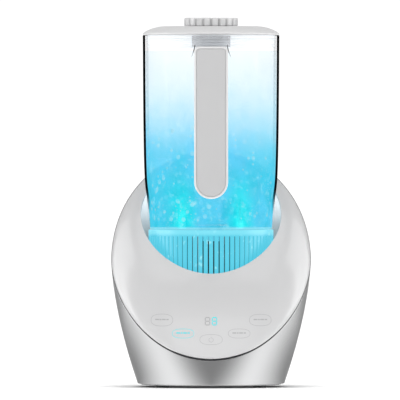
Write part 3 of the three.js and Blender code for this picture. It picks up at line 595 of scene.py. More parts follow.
def lit_water():
    """Water lit from below: clear at the top, cyan and churning below, brightest over the light pipes."""
    look = Look()
    axes = look.node("SeparateXYZ", {0: look.place})
    wave = look.noise(16, 5, (1, 1, 0.7))
    lifted = look.maths("MULTIPLY", look.maths("SUBTRACT", wave, 0.5), 0.055)
    height = look.maths("ADD", axes.outputs[2], lifted)
    level = look.ramp(height, JAR_LOW.z, WATER_LEVEL_Z, 0, 1, smooth=False)
    cover = look.curve(level, WATER_COVER)
    streaks = look.ramp(look.noise(70, 4), 0.25, 0.75, 0.86, 1.08)
    off_beam = look.maths("SUBTRACT", look.maths("ABSOLUTE", axes.outputs[0]), LIGHT_X)
    beam = look.ramp(look.maths("ABSOLUTE", off_beam), 0.0, 0.018, 1.0, 0.0)
    near_floor = look.ramp(axes.outputs[2], JAR_LOW.z + 0.008, JAR_LOW.z + 0.060, 1.0, 0.0)
    deep = look.colours(look.ramp(wave, 0.35, 0.65), (0.13, 0.66, 0.99), (0.04, 0.64, 0.86))
    shade = look.colours(look.ramp(level, 0.3, 0.9), deep, (0.35, 0.80, 1.0))
    shade = look.colours(look.maths("MULTIPLY", beam, near_floor), shade, (0.01, 0.90, 0.95))
    churn = (((48, 6), (0.47, 0.66, 0.0, 0.60), (0.10, 0.50), (0.0, 0.54, 0.72)),
             ((150, 5), (0.52, 0.80, 0.0, 0.55), (0.15, 0.55), (0.42, 0.90, 1.0)))
    for grain, patches, fade, colour in churn:
        patch = look.ramp(look.noise(*grain), *patches)
        share = look.maths("MULTIPLY", patch, look.ramp(level, *fade, 1.0, 0.0))
        shade = look.colours(share, shade, colour)
    over_comb = look.ramp(axes.outputs[2], JAR_LOW.z + 0.0018, JAR_LOW.z + 0.0026, 1.0, 0.0)
    shade = look.colours(over_comb, shade, (0.24, 0.76, 0.92))
    return look.glow(look.maths("MULTIPLY", cover, streaks), shade, 1.0)


def glowing(colour, strength, share, fade_z=None):
    """A faint light shape, or a bubble drawn as a painted glint, a little uneven; each skin that the sight
    line crosses adds to it.
    """
    look = Look()
    cover = look.ramp(look.noise(300), 0.2, 0.8, 0.75 * share, share)
    if fade_z:
        cover = look.maths("MULTIPLY", cover, look.ramp(look.height(), *fade_z, 1.0, 0.0))
    return look.glow(cover, (*colour, 1), strength)


def lit_comb():
    """Translucent cyan plastic, lit on its outer side and dark inside."""
    look = Look()
    axes = look.node("SeparateXYZ", {0: look.place})
    back = look.maths("SUBTRACT", axes.outputs[1], TANK_Y)
    squares = look.maths("ADD", *(look.maths("POWER", look.maths("ABSOLUTE", way), 2.0)
                                  for way in (axes.outputs[0], back)))
    outer = look.ramp(look.maths("SQRT", squares), COMB_RADIUS - 0.003, COMB_RADIUS - 0.0004)
    # Pale flecks brighten the comb's glow in places.
    pale_flecks = look.ramp(look.noise(150, 2, (1, 1, 0.85)), 0.62, 0.78)
    lit = look.colours(pale_flecks, (0.09, 0.60, 0.78), (0.32, 0.82, 0.93))
    shade = look.colours(outer, (0.002, 0.03, 0.04), lit)
    band = look.ramp(axes.outputs[2], COMB_SLOT_Z[1] - 0.001, COMB_SLOT_Z[1] + 0.003)
    shade = look.colours(look.maths("MULTIPLY", band, 0.75), shade, (0.24, 0.78, 0.92))
    return look.skin((0.02, 0.10, 0.12, 1), 0.3, (200, 0.05), shade, 0.92)


def lit_liner():
    """White plastic whose upper wall catches the light of the tank, and whose depths don't."""
    look = Look()
    pale = look.colours(look.noise(14), (0.86, 0.865, 0.87), (0.90, 0.905, 0.91))
    shade = look.colours(look.ramp(look.height(), *LINER_SHADE_Z), (0.36, 0.37, 0.375), pale)
    glow = look.ramp(look.height(), *LINER_GLOW_Z, 0.0, 0.42)
    return look.skin(shade, 0.5, (900, 0.06), (0.97, 0.985, 1.0, 1), glow)


def board_look():
    """Green solder mask with faint copper tracks."""
    look = Look()
    tracks = look.node("TexBrick", {"Vector": look.place, "Scale": 160.0, "Mortar Size": 0.03})
    shade = look.colours(tracks.outputs["Fac"], (0.02, 0.16, 0.09), (0.10, 0.30, 0.14))
    return look.done(look.shader(Base_Color=shade, Roughness=0.35,
                                 Normal=look.bump(tracks.outputs["Fac"], 0.2)))


LOOKS = {
    "satin_metal": brushed((0.80, 0.805, 0.81), 0.25, (1, 1, 60), contrast=0.3),
    "white_gloss": moulded((0.73, 0.73, 0.735), 0.32, 0.02, coat=0.6, variation=0.006),
    "bright_gloss": moulded((0.82, 0.82, 0.825), 0.36, 0.02, polish=0.05, variation=0.006),
    "white_matte": moulded((0.88, 0.885, 0.89), 0.5, 0.06),
    "lit_liner": lit_liner(),
    "grey_plastic": moulded((0.60, 0.60, 0.605), 0.42, 0.04, variation=0.01),
    "clear_tank": clear_wall(1.0, WALL_EDGE_Z),
    "clear_tank_inside": clear_wall(0.12, WALL_EDGE_Z, 0.02),
    "clear_plastic": clear_wall(0.25),
    "cyan_plastic": lit_comb(),
    "rubber": moulded((0.025, 0.025, 0.028), 0.75, 0.2),
    "silicone": moulded((0.62, 0.64, 0.65), 0.55, 0.08),
    "steel": brushed((0.62, 0.63, 0.64), 0.3, (1, 40, 1)),
    "aluminium": brushed((0.68, 0.69, 0.70), 0.4, (1, 40, 1)),
    "clear_plastic_with_painted_shade": painted_shade_wall(),
    "frosted_plastic": frosted(),
    "circuit_board": board_look(),
    "black_plastic": moulded((0.03, 0.03, 0.034), 0.45, 0.1),
    "ceramic": moulded((0.70, 0.62, 0.40), 0.35, 0.05),
    "water": lit_water(),
    "jet": glowing((0.20, 1.0, 1.0), 2.0, 0.15, (JAR_LOW.z + 0.004, JAR_LOW.z + 0.036)),
    "bubble": glowing((0.80, 0.97, 1.0), 1.5, 0.14),
    "wall_bubble": glowing((0.58, 0.92, 1.0), 1.0, 0.17),
    "mark": moulded((0.50, 0.50, 0.51), 0.5, 0.02),
    "mark_lit": lit_mark(),
    "lit_plug": lit_plug(),
}
for look_name, material in LOOKS.items():
    material.name = look_name

CORNERS = ("front_left", "front_right", "rear_left", "rear_right")
INNER_SLOTS = {
    "white_matte": ["bottom_cover", "air_duct"],
    "steel": ["transducer_holder", "handle_screw_lower", "handle_screw_upper",
              *("touch_pad_" + key for key in ("power", "timer", "level", "light", "ion")),
              *("bottom_screw_" + corner for corner in CORNERS)],
    "grey_plastic": ["float_clip", "nozzle_retainer"],
    "silicone": ["transducer_seal", "tube_seal", "valve_gasket"],
    "circuit_board": ["driver_board", "led_board", "control_board"],
    "black_plastic": ["fan_housing", "fan_rotor", "dc_jack", "display_module"],
    "aluminium": ["heat_sink"],
    "ceramic": ["transducer_disc"],
}


def finish_inner_nodes():
    """The CAD nodes that stay get their finish and slightly rounded edges."""
    for slot, names in INNER_SLOTS.items():
        for name in names:
            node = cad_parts[name]
            node.data.materials.clear()
            node.data.materials.append(LOOKS[slot])
            edge = node.modifiers.new("edge", "BEVEL")
            edge.width = 0.15 * MM
            edge.segments = 2
            edge.limit_method = "ANGLE"
            edge.angle_limit = math.radians(50)


# ---------------- base

def metal_shell():
    """The slanted shell, with its rim along the parting edge and the hole for the jack at its back."""
    rings = []
    for turn in turns(AROUND):
        top = solve(lambda z: z - parting_z(-body_radius(z) * math.cos(turn)), 0, 0.24) - SHADOW_GAP
        heights = [BODY_BOTTOM_Z + (top - BODY_BOTTOM_Z) * k / 60 for k in range(61)]

        def wall(inset):
            return stood([Vector((body_radius(z) - inset, z)) for z in heights], turn, y=0.0)

        radii = [0.35 * MM, 0.2 * MM, 0.2 * MM, 1.3 * MM]
        rings.append(closed_loop(wall(0), wall(WALL)[::-1], radii, [44, 2, 14, 2]))
    shell = piece("metal_shell", loft(rings), "base", "satin_metal", ["base_shell"])
    jack = centre_of("dc_jack")
    hole = circle(JACK_HOLE_RADIUS, steps=48)
    cutter = [[Vector((jack.x + p.x, y, jack.z + p.y)) for p in hole] for y in (0.060, 0.090)]
    return carve(shell, loft(cutter, wrap=False))


def face_skin():
    """The domed face: a closed shell whose lines run from the parting edge to the opening and back."""
    dense = 90
    rings = []
    for turn in turns(AROUND, 0.5):
        lip = FACE_LIP * max(0.0, math.cos(turn)) ** 5

        def surface(inset):
            start = parting_point(turn, inset + FACE_EDGE_STEP)
            end = opening_point(turn, inset, WELL_RADIUS - lip)
            points = []
            for k in range(dense + 1):
                share = (k / dense) ** 2.2
                x, z = start.x + (end.x - start.x) * share, start.z + (end.z - start.z) * share
                points.append(Vector((x, face_y(x, z, inset), z)))
            points[0], points[-1] = start, end
            return points

        radii = [1.5 * MM, 0.3 * MM, 0.3 * MM, 1.8 * MM]
        rings.append(closed_loop(surface(0), surface(FACE_WALL)[::-1], radii, [64, 2, 16, 2], 6))
    piece("face_skin", loft(rings), "base", "white_gloss", ["face_cover"])


def parting_shadow_strip():
    """A thin black strip in the gap between the shell and the face: painted shade, standing for the shadow
    in that gap.
    """
    width, depth = 1.8 * MM, 0.75 * MM
    rings = []
    for turn in turns(AROUND, 0.5):
        outer, inner = parting_point(turn, 0.05 * MM), parting_point(turn, width)
        lift = Vector((0, 0, depth))
        rings.append([outer - lift, outer, inner, inner - lift])
    piece("parting_shadow_strip", loft(rings), "base", "black_plastic")


def well_liner():
    """The liner: its wall follows the face, then the floor, the basin and the posts."""
    out = WELL_RADIUS + WALL
    below = FACE_WALL + GAP + 0.2 * MM
    basin_out, hole = BASIN_RADIUS + WALL, 9 * MM
    floor = [(out, WELL_FLOOR_Z - WALL), (basin_out, WELL_FLOOR_Z - WALL), (basin_out, BASIN_FLOOR_Z - WALL),
             (hole, BASIN_FLOOR_Z - WALL), (hole, BASIN_FLOOR_Z), (BASIN_RADIUS, BASIN_FLOOR_Z),
             (BASIN_RADIUS, WELL_FLOOR_Z), (WELL_RADIUS, WELL_FLOOR_Z)]
    rings = []
    for turn in turns(AROUND):
        tops = [opening_point(turn, below, radius).z for radius in (WELL_RADIUS, out)]
        outline = [(WELL_RADIUS, tops[0]), (out, tops[1]), *floor]
        rings.append(stood(rounded([Vector(point) for point in outline], 1.6 * MM), turn))
    air_pipe = turned([(8, 57.5), (9.4, 57.5), (9.4, 100), (8, 100)], *centre_of("air_duct").xy)
    valve_post = turned([(0, 59), (6, 59), (3, 72), (3, 103.5), (0, 103.5)], 0, VALVE_Y)
    float_post = turned([(0, 59), (2.2, 59), (2.2, 84), (0, 84)], *centre_of("float_clip").xy)
    part = gathered(loft(rings), air_pipe, valve_post, float_post)
    piece("well_liner", part, "base", "white_matte", ["tank_well"], "lit_liner")


def rubber_feet():
    outline = [(0, 0), (6.25, 0), (6.25, 1.7), (2.4, 1.7), (2.4, 5.3), (3.3, 5.3), (2.4, 7.2), (0, 7.2)]
    for corner in CORNERS:
        node = "foot_" + corner
        part = turned(outline, *centre_of(node).xy, 0.4, 40)
        piece("rubber_" + node, part, "base", "rubber", [node])


# ---------------- marks on the face

def stroke(points, width, closed=False):
    """A thin raised line through (x, z) points of a front view, laid on the face."""
    lift, sink = 0.08 * MM, 0.15 * MM
    rings = []
    count = len(points)
    for i, point in enumerate(points):
        before = points[i - 1] if closed or i else point
        after = points[(i + 1) % count] if closed or i < count - 1 else point
        along = (after - before).normalized()
        side = Vector((-along.y, along.x)) * width / 2
        ring = []
        for edge, depth in ((side, -lift), (-side, -lift), (-side, sink), (side, sink)):
            x, z = point.x + edge.x, point.y + edge.y
            ring.append(Vector((x, face_y(x, z) + depth, z)))
        rings.append(ring)
    return loft(rings, wrap=closed)


def oval(centre, width, height):
    """A flattened ring with straight top and bottom runs."""
    points = []
    for turn in turns(56):
        x, z = (math.copysign(abs(way) ** 0.8, way) / 2 for way in (math.cos(turn), math.sin(turn)))
        points.append(centre + Vector((x * width, z * height)))
    return points


def dashes(centre):
    """Short plain bars in the middle of a key, in place of words."""
    gap, z = 0.6 * MM, centre.y + 0.5 * MM
    at = centre.x - (sum(DASH_WIDTHS) + gap * (len(DASH_WIDTHS) - 1)) / 2
    bars = []
    for width in DASH_WIDTHS:
        bars.append(stroke([Vector((at, z)), Vector((at + width, z))], 1.1 * MM))
        at += width + gap
    return bars


def face_marks():
    """The outlines of the keys, one of them lit, with the power sign and the dashes in them."""
    line = 0.35 * MM
    power = centre_of("touch_pad_power").xz
    arc = [power + point - Vector((0, 0.3 * MM)) for point in circle(2.1 * MM, 125, 415, 20)]
    bar = [power + Vector((0, 0.9 * MM)), power + Vector((0, 2.6 * MM))]
    grey = [stroke(oval(power, *POWER_KEY), line, True), stroke(arc, line), stroke(bar, line)]
    lit = []
    for key, height in KEY_HEIGHTS.items():
        place = centre_of("touch_pad_" + key).xz
        marks = lit if key == "timer" else grey
        marks += [stroke(oval(place, KEY_WIDTH, height), line, True), *dashes(place)]
    piece("key_marks", gathered(*grey), "base", "grey_plastic", look="mark")
    piece("key_marks_lit", gathered(*lit), "base", "grey_plastic", look="mark_lit")


def display_digits():
    """Two generic seven-segment digits that shine through the face."""
    middle = centre_of("display_module").z
    width, height, line = 4.2 * MM, 7.0 * MM, 0.9 * MM
    digits = (("display_digit_tens", -3.4 * MM, "mark"), ("display_digit_ones", 3.2 * MM, "mark_lit"))
    for name, x, look in digits:
        left, right = x - width / 2, x + width / 2
        bars = []
        for z in (middle - height / 2, middle, middle + height / 2):
            bars.append(stroke([Vector((left + 0.3 * MM, z)), Vector((right - 0.3 * MM, z))], line))
        for side in (left, right):
            for start in (middle - height / 2, middle):
                ends = [Vector((side, start + 0.4 * MM)), Vector((side, start + height / 2 - 0.4 * MM))]
                bars.append(stroke(ends, line))
        piece(name, gathered(*bars), "base", "grey_plastic", look=look)


# ---------------- tank

def spline(points, steps=10):
    """A smooth curve through (radius, z) points."""
    knots = [points[0], *points, points[-1]]
    line = []
    for i in range(1, len(knots) - 2):
        p = [Vector(k) for k in knots[i - 1:i + 3]]
        for k in range(steps):
            t = k / steps
            line.append(0.5 * (2 * p[1] + (p[2] - p[0]) * t + (2 * p[0] - 5 * p[1] + 4 * p[2] - p[3]) * t * t
                               + (3 * p[1] - p[0] - 3 * p[2] + p[3]) * t ** 3))
    return [*line, Vector(points[-1])]


def jar_profile(inset, low, high):
    """The tank's side in millimetres between two heights, moved inward."""
    line = spline(JAR_OUTLINE)
    table = [(p.y, p.x) for p in line]
    start, end = (Vector((between(table, z), z)) for z in (low, high))
    return [(p.x - inset, p.y) for p in (start, *(p for p in line if low < p.y < high), end)]


def tank_jar():
    low, high = JAR_LOW.z / MM, JAR_HIGH.z / MM
    wall = JAR_WALL / MM
    floor_top = low + wall
    outer = [(58.9, low), *jar_profile(0, low + 2.7, high)]
    inner = jar_profile(wall, floor_top, high)[::-1]
    outline = [(11.3, low), *outer, *inner, (11.3, floor_top)]
    part = turned(outline, radius=0.8, steps=AROUND)
    jar = piece("clear_jar", part, "tank", "clear_tank", ["tank_jar"])
    jar.data.materials.append(LOOKS["clear_tank_inside"])
    for face in jar.data.polygons:
        out = Vector((face.center.x, face.center.y - TANK_Y, 0)).normalized()
        face.material_index = 0 if face.normal.dot(out) > 0.5 else 1


def water():
    """The water, with a beam of light over each light pipe."""
    low, high = JAR_LOW.z / MM + 0.3, WATER_LEVEL_Z / MM
    outline = [(0, low), *jar_profile(WATER_INSET / MM, low, high), (0, high)]
    part = turned(outline, radius=1.2, steps=AROUND)
    shadowless(piece("water_body", part, "tank", "clear_plastic", look="water"))
    beams = []
    for x in (-LIGHT_X, LIGHT_X):
        for share in BEAM_SHELLS:
            start, reach = low + 0.5 / share, BEAM_HEIGHT / MM * (0.4 + 0.6 * share)
            outline = [(0, start), (4.4 * share, start), (3.2 * share, low + 0.34 * reach),
                       (1.5 * share, low + 0.71 * reach), (0, low + reach)]
            beams.append(turned(outline, x, LIGHT_Y - BEAM_FORWARD, 1.0, 32))
    shadowless(piece("water_light_beams", gathered(*beams), "tank", "clear_plastic", look="jet"))


def bubbles():
    """Small bubbles rising through the water or clinging to the wall, thickest low down and on the left."""
    source = random.Random(12)
    sphere = bmesh.new()
    bmesh.ops.create_icosphere(sphere, subdivisions=2, radius=1)
    verts = [v.co.copy() for v in sphere.verts]
    faces = [tuple(v.index for v in f.verts) for f in sphere.faces]
    sphere.free()
    wall = [(z, r - 0.7) for r, z in jar_profile(0, 153, 333)]
    kinds = {"water_bubbles": [], "wall_bubbles": []}
    for i in range(BUBBLES):
        angle = source.uniform(-math.pi, math.pi)
        if i % 3 == 0:
            angle = source.uniform(-1.25, -0.2)
        z = JAR_LOW.z + 0.009 + BUBBLE_RISE * source.random() ** 1.5
        size = source.choice(BUBBLE_SIZES) * MM
        clings = i % 5 < 3
        distance = between(wall, z / MM) * MM if clings else source.uniform(0.02, 0.055)
        depth = 0.2 * MM / size if clings else 1.0
        out = Vector((math.sin(angle), -math.cos(angle), 0))
        centre = Vector((0, TANK_Y, z)) + out * distance
        blob = [centre + (v - out * v.dot(out) * (1 - depth)) * size for v in verts]
        kinds["wall_bubbles" if clings else "water_bubbles"].append((blob, faces))
    for name, look in (("water_bubbles", "bubble"), ("wall_bubbles", "wall_bubble")):
        shadowless(piece(name, gathered(*kinds[name]), "tank", "clear_plastic", look=look))


def comb_ring():
    """The slotted foot of the tank, with a rounded fin between each pair of slots."""
    inner = COMB_RADIUS - COMB_THICKNESS
    slot_low, slot_high = COMB_SLOT_Z
    bands = []
    for start, end in ((COMB_LOW.z, slot_low + 0.4 * MM), (slot_high - 0.4 * MM, COMB_HIGH.z)):
        outline = [(r / MM, z / MM) for r, z in ((inner, start), (COMB_RADIUS, start), (COMB_RADIUS, end),
                                                 (inner, end))]
        bands.append(turned(outline, radius=0.35, steps=COMB_SLOTS * 3))
    half = math.pi / COMB_SLOTS - COMB_SLOT_WIDTH / 2 / COMB_RADIUS
    plan = ((inner, -half), (COMB_RADIUS, -half), (COMB_RADIUS, 0), (COMB_RADIUS, half), (inner, half))
    fins = []
    for turn in turns(COMB_SLOTS):
        corners = [stood([Vector((radius, 0))], turn + angle)[0].xy for radius, angle in plan]
        fins.append(prism(rounded(corners, 0.35 * MM, 3, axis=False), slot_low, slot_high))
    comb = piece("comb_ring", gathered(*bands, *fins), "tank", "cyan_plastic", ["foot_grille"])
    comb.visible_diffuse = False


def turned_pieces():
    """Pieces that are simply turned: name, body, slot, look if it differs, node, axis, outline."""
    float_x, float_y = centre_of("water_float").xy
    rows = [
        ("mist_pipe", "tank", "clear_plastic", "frosted_plastic", "mist_tube", 0, TANK_Y,
         [(9.2, 138), (11, 138), (11, 154.3), (16, 154.3), (16, 156.3), (11, 156.3), (11, 327.5),
          (9.2, 327.5)]),
        ("valve_neck", "tank", "white_matte", None, "valve_seat", 0, VALVE_Y,
         [(6.5, 150), (6.5, 154.6), (15, 154.6), (15, 152.6), (11, 152.6), (11, 110), (2.3, 110), (2.3, 113),
          (9, 113), (9, 150)]),
        ("valve_stem", "valve", "grey_plastic", None, "valve_plunger", 0, VALVE_Y,
         [(0, 103.8), (1.9, 103.8), (1.9, 120), (6, 120), (6, 121.5), (1.9, 121.5), (1.9, 159.7), (9, 159.7),
          (9, 161.2), (3, 162.7), (0, 162.7)]),
        ("float_ring", "float", "white_matte", None, "water_float", float_x, float_y,
         [(2.8, 60.6), (8, 60.6), (9, 61.6), (9, 69.6), (8, 70.6), (2.8, 70.6)]),
        # The hood is black plastic; its black also gives painted shade in the comb's middle slots.
        ("hood_bell", "base", "black_plastic", None, "mist_hood", 0, TANK_Y,
         [(17.9, 60.3), (19.5, 60.3), (19.5, 82), (8.8, 98), (8.8, 146), (7.2, 146), (7.2, 97.3),
          (17.9, 81.3)]),
    ]
    made = {name: piece(name, turned(outline, x, y, 0.5), body, slot, [node], look)
            for name, body, slot, look, node, x, y, outline in rows}
    for width, depth in ((3.5, 30), (30, 3.5)):
        plan = [(x * width * MM, TANK_Y + y * depth * MM) for x, y in SQUARE]
        carve(made["hood_bell"], prism(plan, 58.3 * MM, 66.3 * MM))
    for side, x in (("left", -LIGHT_X), ("right", LIGHT_X)):
        outline = [(0, 52.8), (4, 52.8), (4, 144), (2.5, 146), (0, 146)]
        part = turned(outline, x, LIGHT_Y, 0.6, 40)
        piece("light_rod_" + side, part, "base", "clear_plastic", ["light_pipe_" + side])


def spring():
    """Round wire that stretches between the tank and the valve."""
    low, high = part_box("valve_spring")
    centre = centre_of("valve_spring")
    radius, wire, turns, steps = 4.6 * MM, 0.45 * MM, 5, 160
    bottom, top = low.z + wire, high.z - wire
    rings = []
    for i in range(steps + 1):
        t = i / steps
        angle = 2 * math.pi * turns * t
        out = Vector((math.cos(angle), math.sin(angle), 0))
        middle = Vector((centre.x, centre.y, bottom + (top - bottom) * t)) + out * radius
        rings.append([middle + out * p.x + Vector((0, 0, p.y)) for p in circle(wire, steps=10)])
    made = object_of("coil_spring", loft(rings, wrap=False))
    made.data.materials.append(LOOKS["steel"])
    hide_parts("valve_spring")
    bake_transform(made)


# ---------------- handle

def grip_outline(inset, y):
    """One outline of the grip: round at the bottom, small corners at the top."""
    half, top = GRIP_HALF_WIDTH - inset, GRIP_TOP_Z - inset
    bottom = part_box("handle_body")[0].z + inset
    corner = max(GRIP_CORNER - inset, 0.4 * MM)
    points = []
    for x, z, radius, start, end in ((0, bottom + half, half, 180, 360),
                                     (half - corner, top - corner, corner, 0, 90),
                                     (corner - half, top - corner, corner, 90, 180)):
        points += [Vector((x + p.x, y, z + p.y)) for p in circle(radius, start, end)]
    return points


def rounded_slab(front_y, back_y, inset, front_round, back_round, recess=None):
    """The grip's outline carried from back to front with rounded edges, and a recess in its front."""
    rings = []
    quarter = [math.pi / 12 * k for k in range(7)]
    for turn in quarter:
        rings.append(grip_outline(inset + back_round * (1 - math.sin(turn)),
                                  back_y - back_round * (1 - math.cos(turn))))
    for turn in quarter:
        rings.append(grip_outline(inset + front_round * (1 - math.cos(turn)),
                                  front_y + front_round * (1 - math.sin(turn))))
    if recess:
        rings.append(grip_outline(recess[0], front_y))
        rings.append(grip_outline(recess[0] + 0.1 * MM, front_y + recess[1]))
    return loft(rings, wrap=False)


def curved_plate(half_width, low, high):
    """A plate that lies on the tank's side under the handle, in millimetres."""
    inner, outer = 65.3, 67.8
    corners = [Vector(p) * MM for p in ((inner, low), (outer, low), (outer, high), (inner, high))]
    loop = rounded(corners, 0.8 * MM)
    half_turn = math.asin(half_width / outer)
    return loft([stood(loop, half_turn * (i / 12 - 1)) for i in range(25)], wrap=False)


def handle_edge_shadow(side):
    """A thin dark strip that leaves the grip's top corner and widens as it goes down the tank: a painted
    shadow of the grip's edge on the tank.
    """
    steps, width, depth = 14, 0.45 * MM, 0.8 * MM
    rings = []
    for i in range(steps + 1):
        t = i / steps
        x = side * (15.4 + 3.1 * t ** 1.6) * MM
        z = (324.5 - 11 * t) * MM
        y = TANK_Y - math.sqrt((66.3 * MM) ** 2 - x ** 2)
        half = width * (0.35 + 0.65 * math.sin(math.pi * min(1, t + 0.2)))
        rings.append([Vector((x + half * dx, y + depth * dy, z)) for dx, dy in SQUARE])
    return loft(rings, wrap=False)


def handle():
    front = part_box("handle_body")[0].y
    back = front + 14 * MM
    bar = rounded_slab(front, back, 0, 1.0 * MM, 4.5 * MM, (1.9 * MM, 1.6 * MM))
    tank_side = TANK_Y - 65.5 * MM
    low, rise, under, top = ARM_Z
    side = [(back - 4 * MM, top), (back - 4 * MM, low), (back + 5 * MM, rise), (back + 12 * MM, under),
            (tank_side, under), (tank_side, top), (back + 6 * MM, top)]
    arm = loft([[Vector((x, y, z)) for y, z in side] for x in (-15 * MM, 15 * MM)], wrap=False)
    grip = gathered(bar, bevelled(arm, 2.2 * MM), curved_plate(14, 300, 323))
    piece("handle_grip", grip, "tank", "white_gloss", ["handle_body"], "bright_gloss")
    # The collar is clear plastic carrying a grey of painted shade, for the shade round the grip's top.
    collar = curved_plate(18.3, 322.5, 333)
    piece("handle_collar", collar, "tank", "clear_plastic", ["handle_body"], "clear_plastic_with_painted_shade")
    # Painted shadows of the grip's edges, drawn as black strips in the rubber finish.
    edge_shadows = gathered(*(handle_edge_shadow(side) for side in (-1, 1)))
    piece("handle_edge_shadows", edge_shadows, "tank", "rubber", ["handle_body"])
    # The grey slab in the grip's front recess is painted shade: it stands for the shade on the flat front of
    # the white grip.
    low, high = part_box("handle_face")
    inlay = rounded_slab(low.y, high.y, 2.2 * MM, 0.35 * MM, 0.1 * MM)
    piece("handle_shade_inlay", inlay, "tank", "grey_plastic", ["handle_face"])


# ---------------- lid and cap

def lid():
    """The lid's shell with its domed shoulder, the plug with its two grooves, and the gasket."""
    low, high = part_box("lid_cover")
    z0, z1 = low.z / MM, high.z / MM
    points = [(65, z0 + 1), (64.2, 337.3), (55.5, z1 - 0.7), (45, z1)]
    shoulder = [tuple(bezier(points, k / 14)[0] / MM) for k in range(15)]
    outline = [(64.7, z0), *shoulder, (13.4, z1), (13.4, z1 - 2), (45, z1 - 2), (57, z1 - 4.5), (62, z0 + 1),
               (62, z0)]
    plug = [(13.4, 331), (56, 331), (56, 322), (60.6, 322), (60.6, 324.6), (59.6, 325), (59.6, 325.9),
            (60.6, 326.3), (60.6, 327.9), (58, 327.9), (58, 331.1), (60.6, 331.1), (60.6, 334), (13.4, 334)]
    seal = [(60 + 1.5 * p.x, 329.5 + 1.3 * p.y) for p in circle(1)]
    for name, outline, radius, slot, look, node in (
            ("lid_shell", outline, 0.25, "white_gloss", "bright_gloss", "lid_cover"),
            ("lid_plug_ring", plug, 0.25, "white_matte", "lit_plug", "lid_plug"),
            ("lid_seal", seal, 0.1, "silicone", "lit_plug", "lid_gasket")):
        piece(name, turned(outline, radius=radius, steps=AROUND), "lid", slot, [node], look)


def fluted_cap():
    """The cap: a rounded disc with flutes round its edge, a spigot under it and a mist slot on top."""
    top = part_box("mist_nozzle")[1].z
    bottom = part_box("lid_cover")[1].z + GAP
    per_flute = 14
    rings = []
    for i, turn in enumerate(turns(FLUTES * per_flute)):
        share = abs(((i / per_flute) + 0.5) % 1 - 0.5) * 2
        edge = CAP_RADIUS - FLUTE_DEPTH * max(0.0, 1 - (share / 0.4) ** 2)
        outline = ((0, top - 2 * MM), (11 * MM, top - 2 * MM), (14 * MM, top), (edge - 0.5 * MM, top),
                   (edge, top - 1.8 * MM), (edge, bottom), (0, bottom))
        rings.append(stood(rounded([Vector(p) for p in outline], 1.2 * MM), turn))
    spigot_top = bottom / MM + 0.5
    spigot = turned([(11.5, 328), (13, 328), (13, spigot_top), (11.5, spigot_top)])
    part = gathered(loft(rings), spigot)
    cap = piece("fluted_cap", part, "nozzle", "white_gloss", ["mist_nozzle"], "bright_gloss")
    # The faces in the grooves between the flutes get the grey finish: painted shade in the hollows of the
    # white cap.
    cap.data.materials.append(LOOKS["grey_plastic"])
    groove = CAP_RADIUS - 0.35 * FLUTE_DEPTH
    for face in cap.data.polygons:
        distance = math.hypot(face.center.x, face.center.y - TANK_Y)
        if bottom < face.center.z < top - 1.2 * MM and 16 * MM < distance < groove:
            face.material_index = 1
    mouth = []
    for x, start in ((5 * MM, -90), (-5 * MM, 90)):
        mouth += [Vector((x, TANK_Y - 4.5 * MM)) + p for p in circle(3.4 * MM, start, start + 180)]
    return carve(cap, prism(mouth, top - 6.5 * MM, top + 2 * MM))


# ---------------- studio

def area_light(name, place, target, size, power):
    data = bpy.data.lights.new(name, "AREA")
    data.shape = "RECTANGLE"
    data.size, data.size_y = size
    data.energy = power
    made = bpy.data.objects.new(name, data)
    made.location = place
    made.rotation_mode = "QUATERNION"
    made.rotation_quaternion = (Vector(target) - Vector(place)).to_track_quat("-Z", "Y")
    made.visible_camera = False
    bpy.context.scene.collection.objects.link(made)
    return made


def card(name, corners, look):
    """A flat four-cornered card."""
    made = object_of(name, (corners, [(0, 1, 2, 3)]))
    made.data.materials.append(look.material)
    return made


def reflected_floor():
    """What gloss sees of the floor: bright and dark fans round the base, as from studio flags."""
    look = Look("floor_flags")
    axes = look.node("SeparateXYZ", {0: look.place})
    front = look.maths("MULTIPLY", axes.outputs[1], -1.0)
    turn = look.maths("ABSOLUTE", look.maths("ARCTAN2", axes.outputs[0], front))
    distance = look.node("VectorMath", {0: look.place}, operation="LENGTH").outputs["Value"]
    reach_out = look.maths("MINIMUM", look.maths("DIVIDE", distance, 0.09), 4.4)
    swept = look.maths("MULTIPLY", look.maths("LOGARITHM", reach_out, math.e), 0.63)
    share = look.maths("DIVIDE", look.maths("SUBTRACT", turn, swept), math.pi, clamp=True)
    fans = look.curve(share, [(degrees / 180, value) for degrees, value in FANS], spline=True)
    look.done(look.node("Emission", {"Color": fans, "Strength": 1.0}).outputs[0])
    only_in_gloss(card("floor_flags", [(6 * x, 6 * y, 0.0004) for x, y in SQUARE], look))


def side_card(name, x):
    """A tall pale card beside and behind the object, seen only in its gloss."""
    front, back, low, high = -0.22, 0.75, 0.02, 2.2
    look = Look("side_card")
    look.done(look.node("Emission", {"Color": (1, 1, 1, 1), "Strength": CARD_STRENGTH}).outputs[0])
    only_in_gloss(card(name, [(x, front, low), (x, back, low), (x, back, high), (x, front, high)], look))


def only_in_gloss(made):
    for kind in ("camera", "diffuse", "transmission", "shadow", "volume_scatter"):
        setattr(made, "visible_" + kind, False)


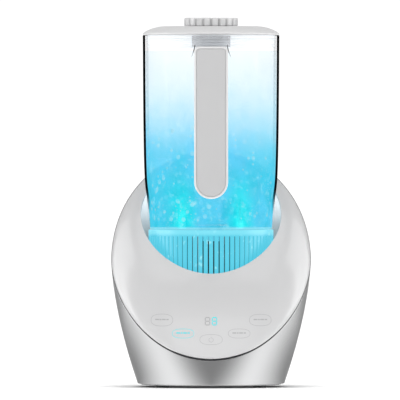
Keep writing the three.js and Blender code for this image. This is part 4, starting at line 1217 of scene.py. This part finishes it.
def paper_floor():
    """The pale floor, with a light of its own that brings it to the backdrop's white."""
    look = Look("floor")
    shade = look.colours(look.noise(3), [FLOOR_ALBEDO - 0.003] * 3, [FLOOR_ALBEDO + 0.003] * 3)
    look.done(look.node("BsdfDiffuse", {"Color": shade}).outputs[0])
    floor = card("floor", [(40 * x, 40 * y, 0) for x, y in SQUARE], look)
    sun = bpy.data.lights.new("floor_light", "SUN")
    sun.energy = FLOOR_MATCH * math.pi * (PAPER_WHITE / FLOOR_ALBEDO - WORLD_STRENGTH)
    sun.angle = math.radians(40)
    overhead = bpy.data.objects.new("floor_light", sun)
    only_floor = bpy.data.collections.new("only_floor")
    only_floor.objects.link(floor)
    overhead.light_linking.receiver_collection = only_floor
    bpy.context.scene.collection.objects.link(overhead)


def backdrop():
    """An even surrounding that is whitest where the camera sees it."""
    world = bpy.data.worlds.new("studio")
    bpy.context.scene.world = world
    world.use_nodes = True
    tree = world.node_tree
    background = tree.nodes["Background"]
    ray = tree.nodes.new("ShaderNodeLightPath")
    strength = background.inputs["Strength"]
    for kind, seen in (("Is Camera Ray", PAPER_WHITE), ("Is Glossy Ray", GLOSS_WORLD_STRENGTH)):
        share = tree.nodes.new("ShaderNodeMapRange")
        share.inputs["To Max"].default_value = seen
        tree.links.new(ray.outputs[kind], share.inputs["Value"])
        tree.links.new(share.outputs[0], strength)
        strength = share.inputs["To Min"]
    strength.default_value = WORLD_STRENGTH
    background.inputs["Color"].default_value = (1, 1, 1, 1)


def studio():
    paper_floor()
    reflected_floor()
    side_card("side_card_left", -1.0)
    side_card("side_card_right", 1.0)
    backdrop()
    for name, place, size, power in SOFTBOXES:
        area_light(name, place, (0, 0, 0.17), size, power)
    view = bpy.context.scene.view_settings
    view.view_transform = "Standard"
    view.look = "None"


def camera():
    data = bpy.data.cameras.new("camera")
    data.sensor_width = 36
    data.lens = data.sensor_width * CAMERA_DISTANCE / VIEW_WIDTH
    data.clip_end = 60
    made = bpy.data.objects.new("camera", data)
    back = Vector((0, -math.cos(CAMERA_RISE), math.sin(CAMERA_RISE)))
    made.location = VIEW_CENTRE + back * CAMERA_DISTANCE
    made.rotation_mode = "QUATERNION"
    made.rotation_quaternion = (-back).to_track_quat("-Z", "Y")
    bpy.context.scene.collection.objects.link(made)
    bpy.context.scene.camera = made


# ---------------- everything

camera()
studio()
finish_inner_nodes()
metal_shell()
face_skin()
parting_shadow_strip()
well_liner()
rubber_feet()
face_marks()
display_digits()
tank_jar()
water()
bubbles()
comb_ring()
turned_pieces()
spring()
handle()
lid()
fluted_cap()
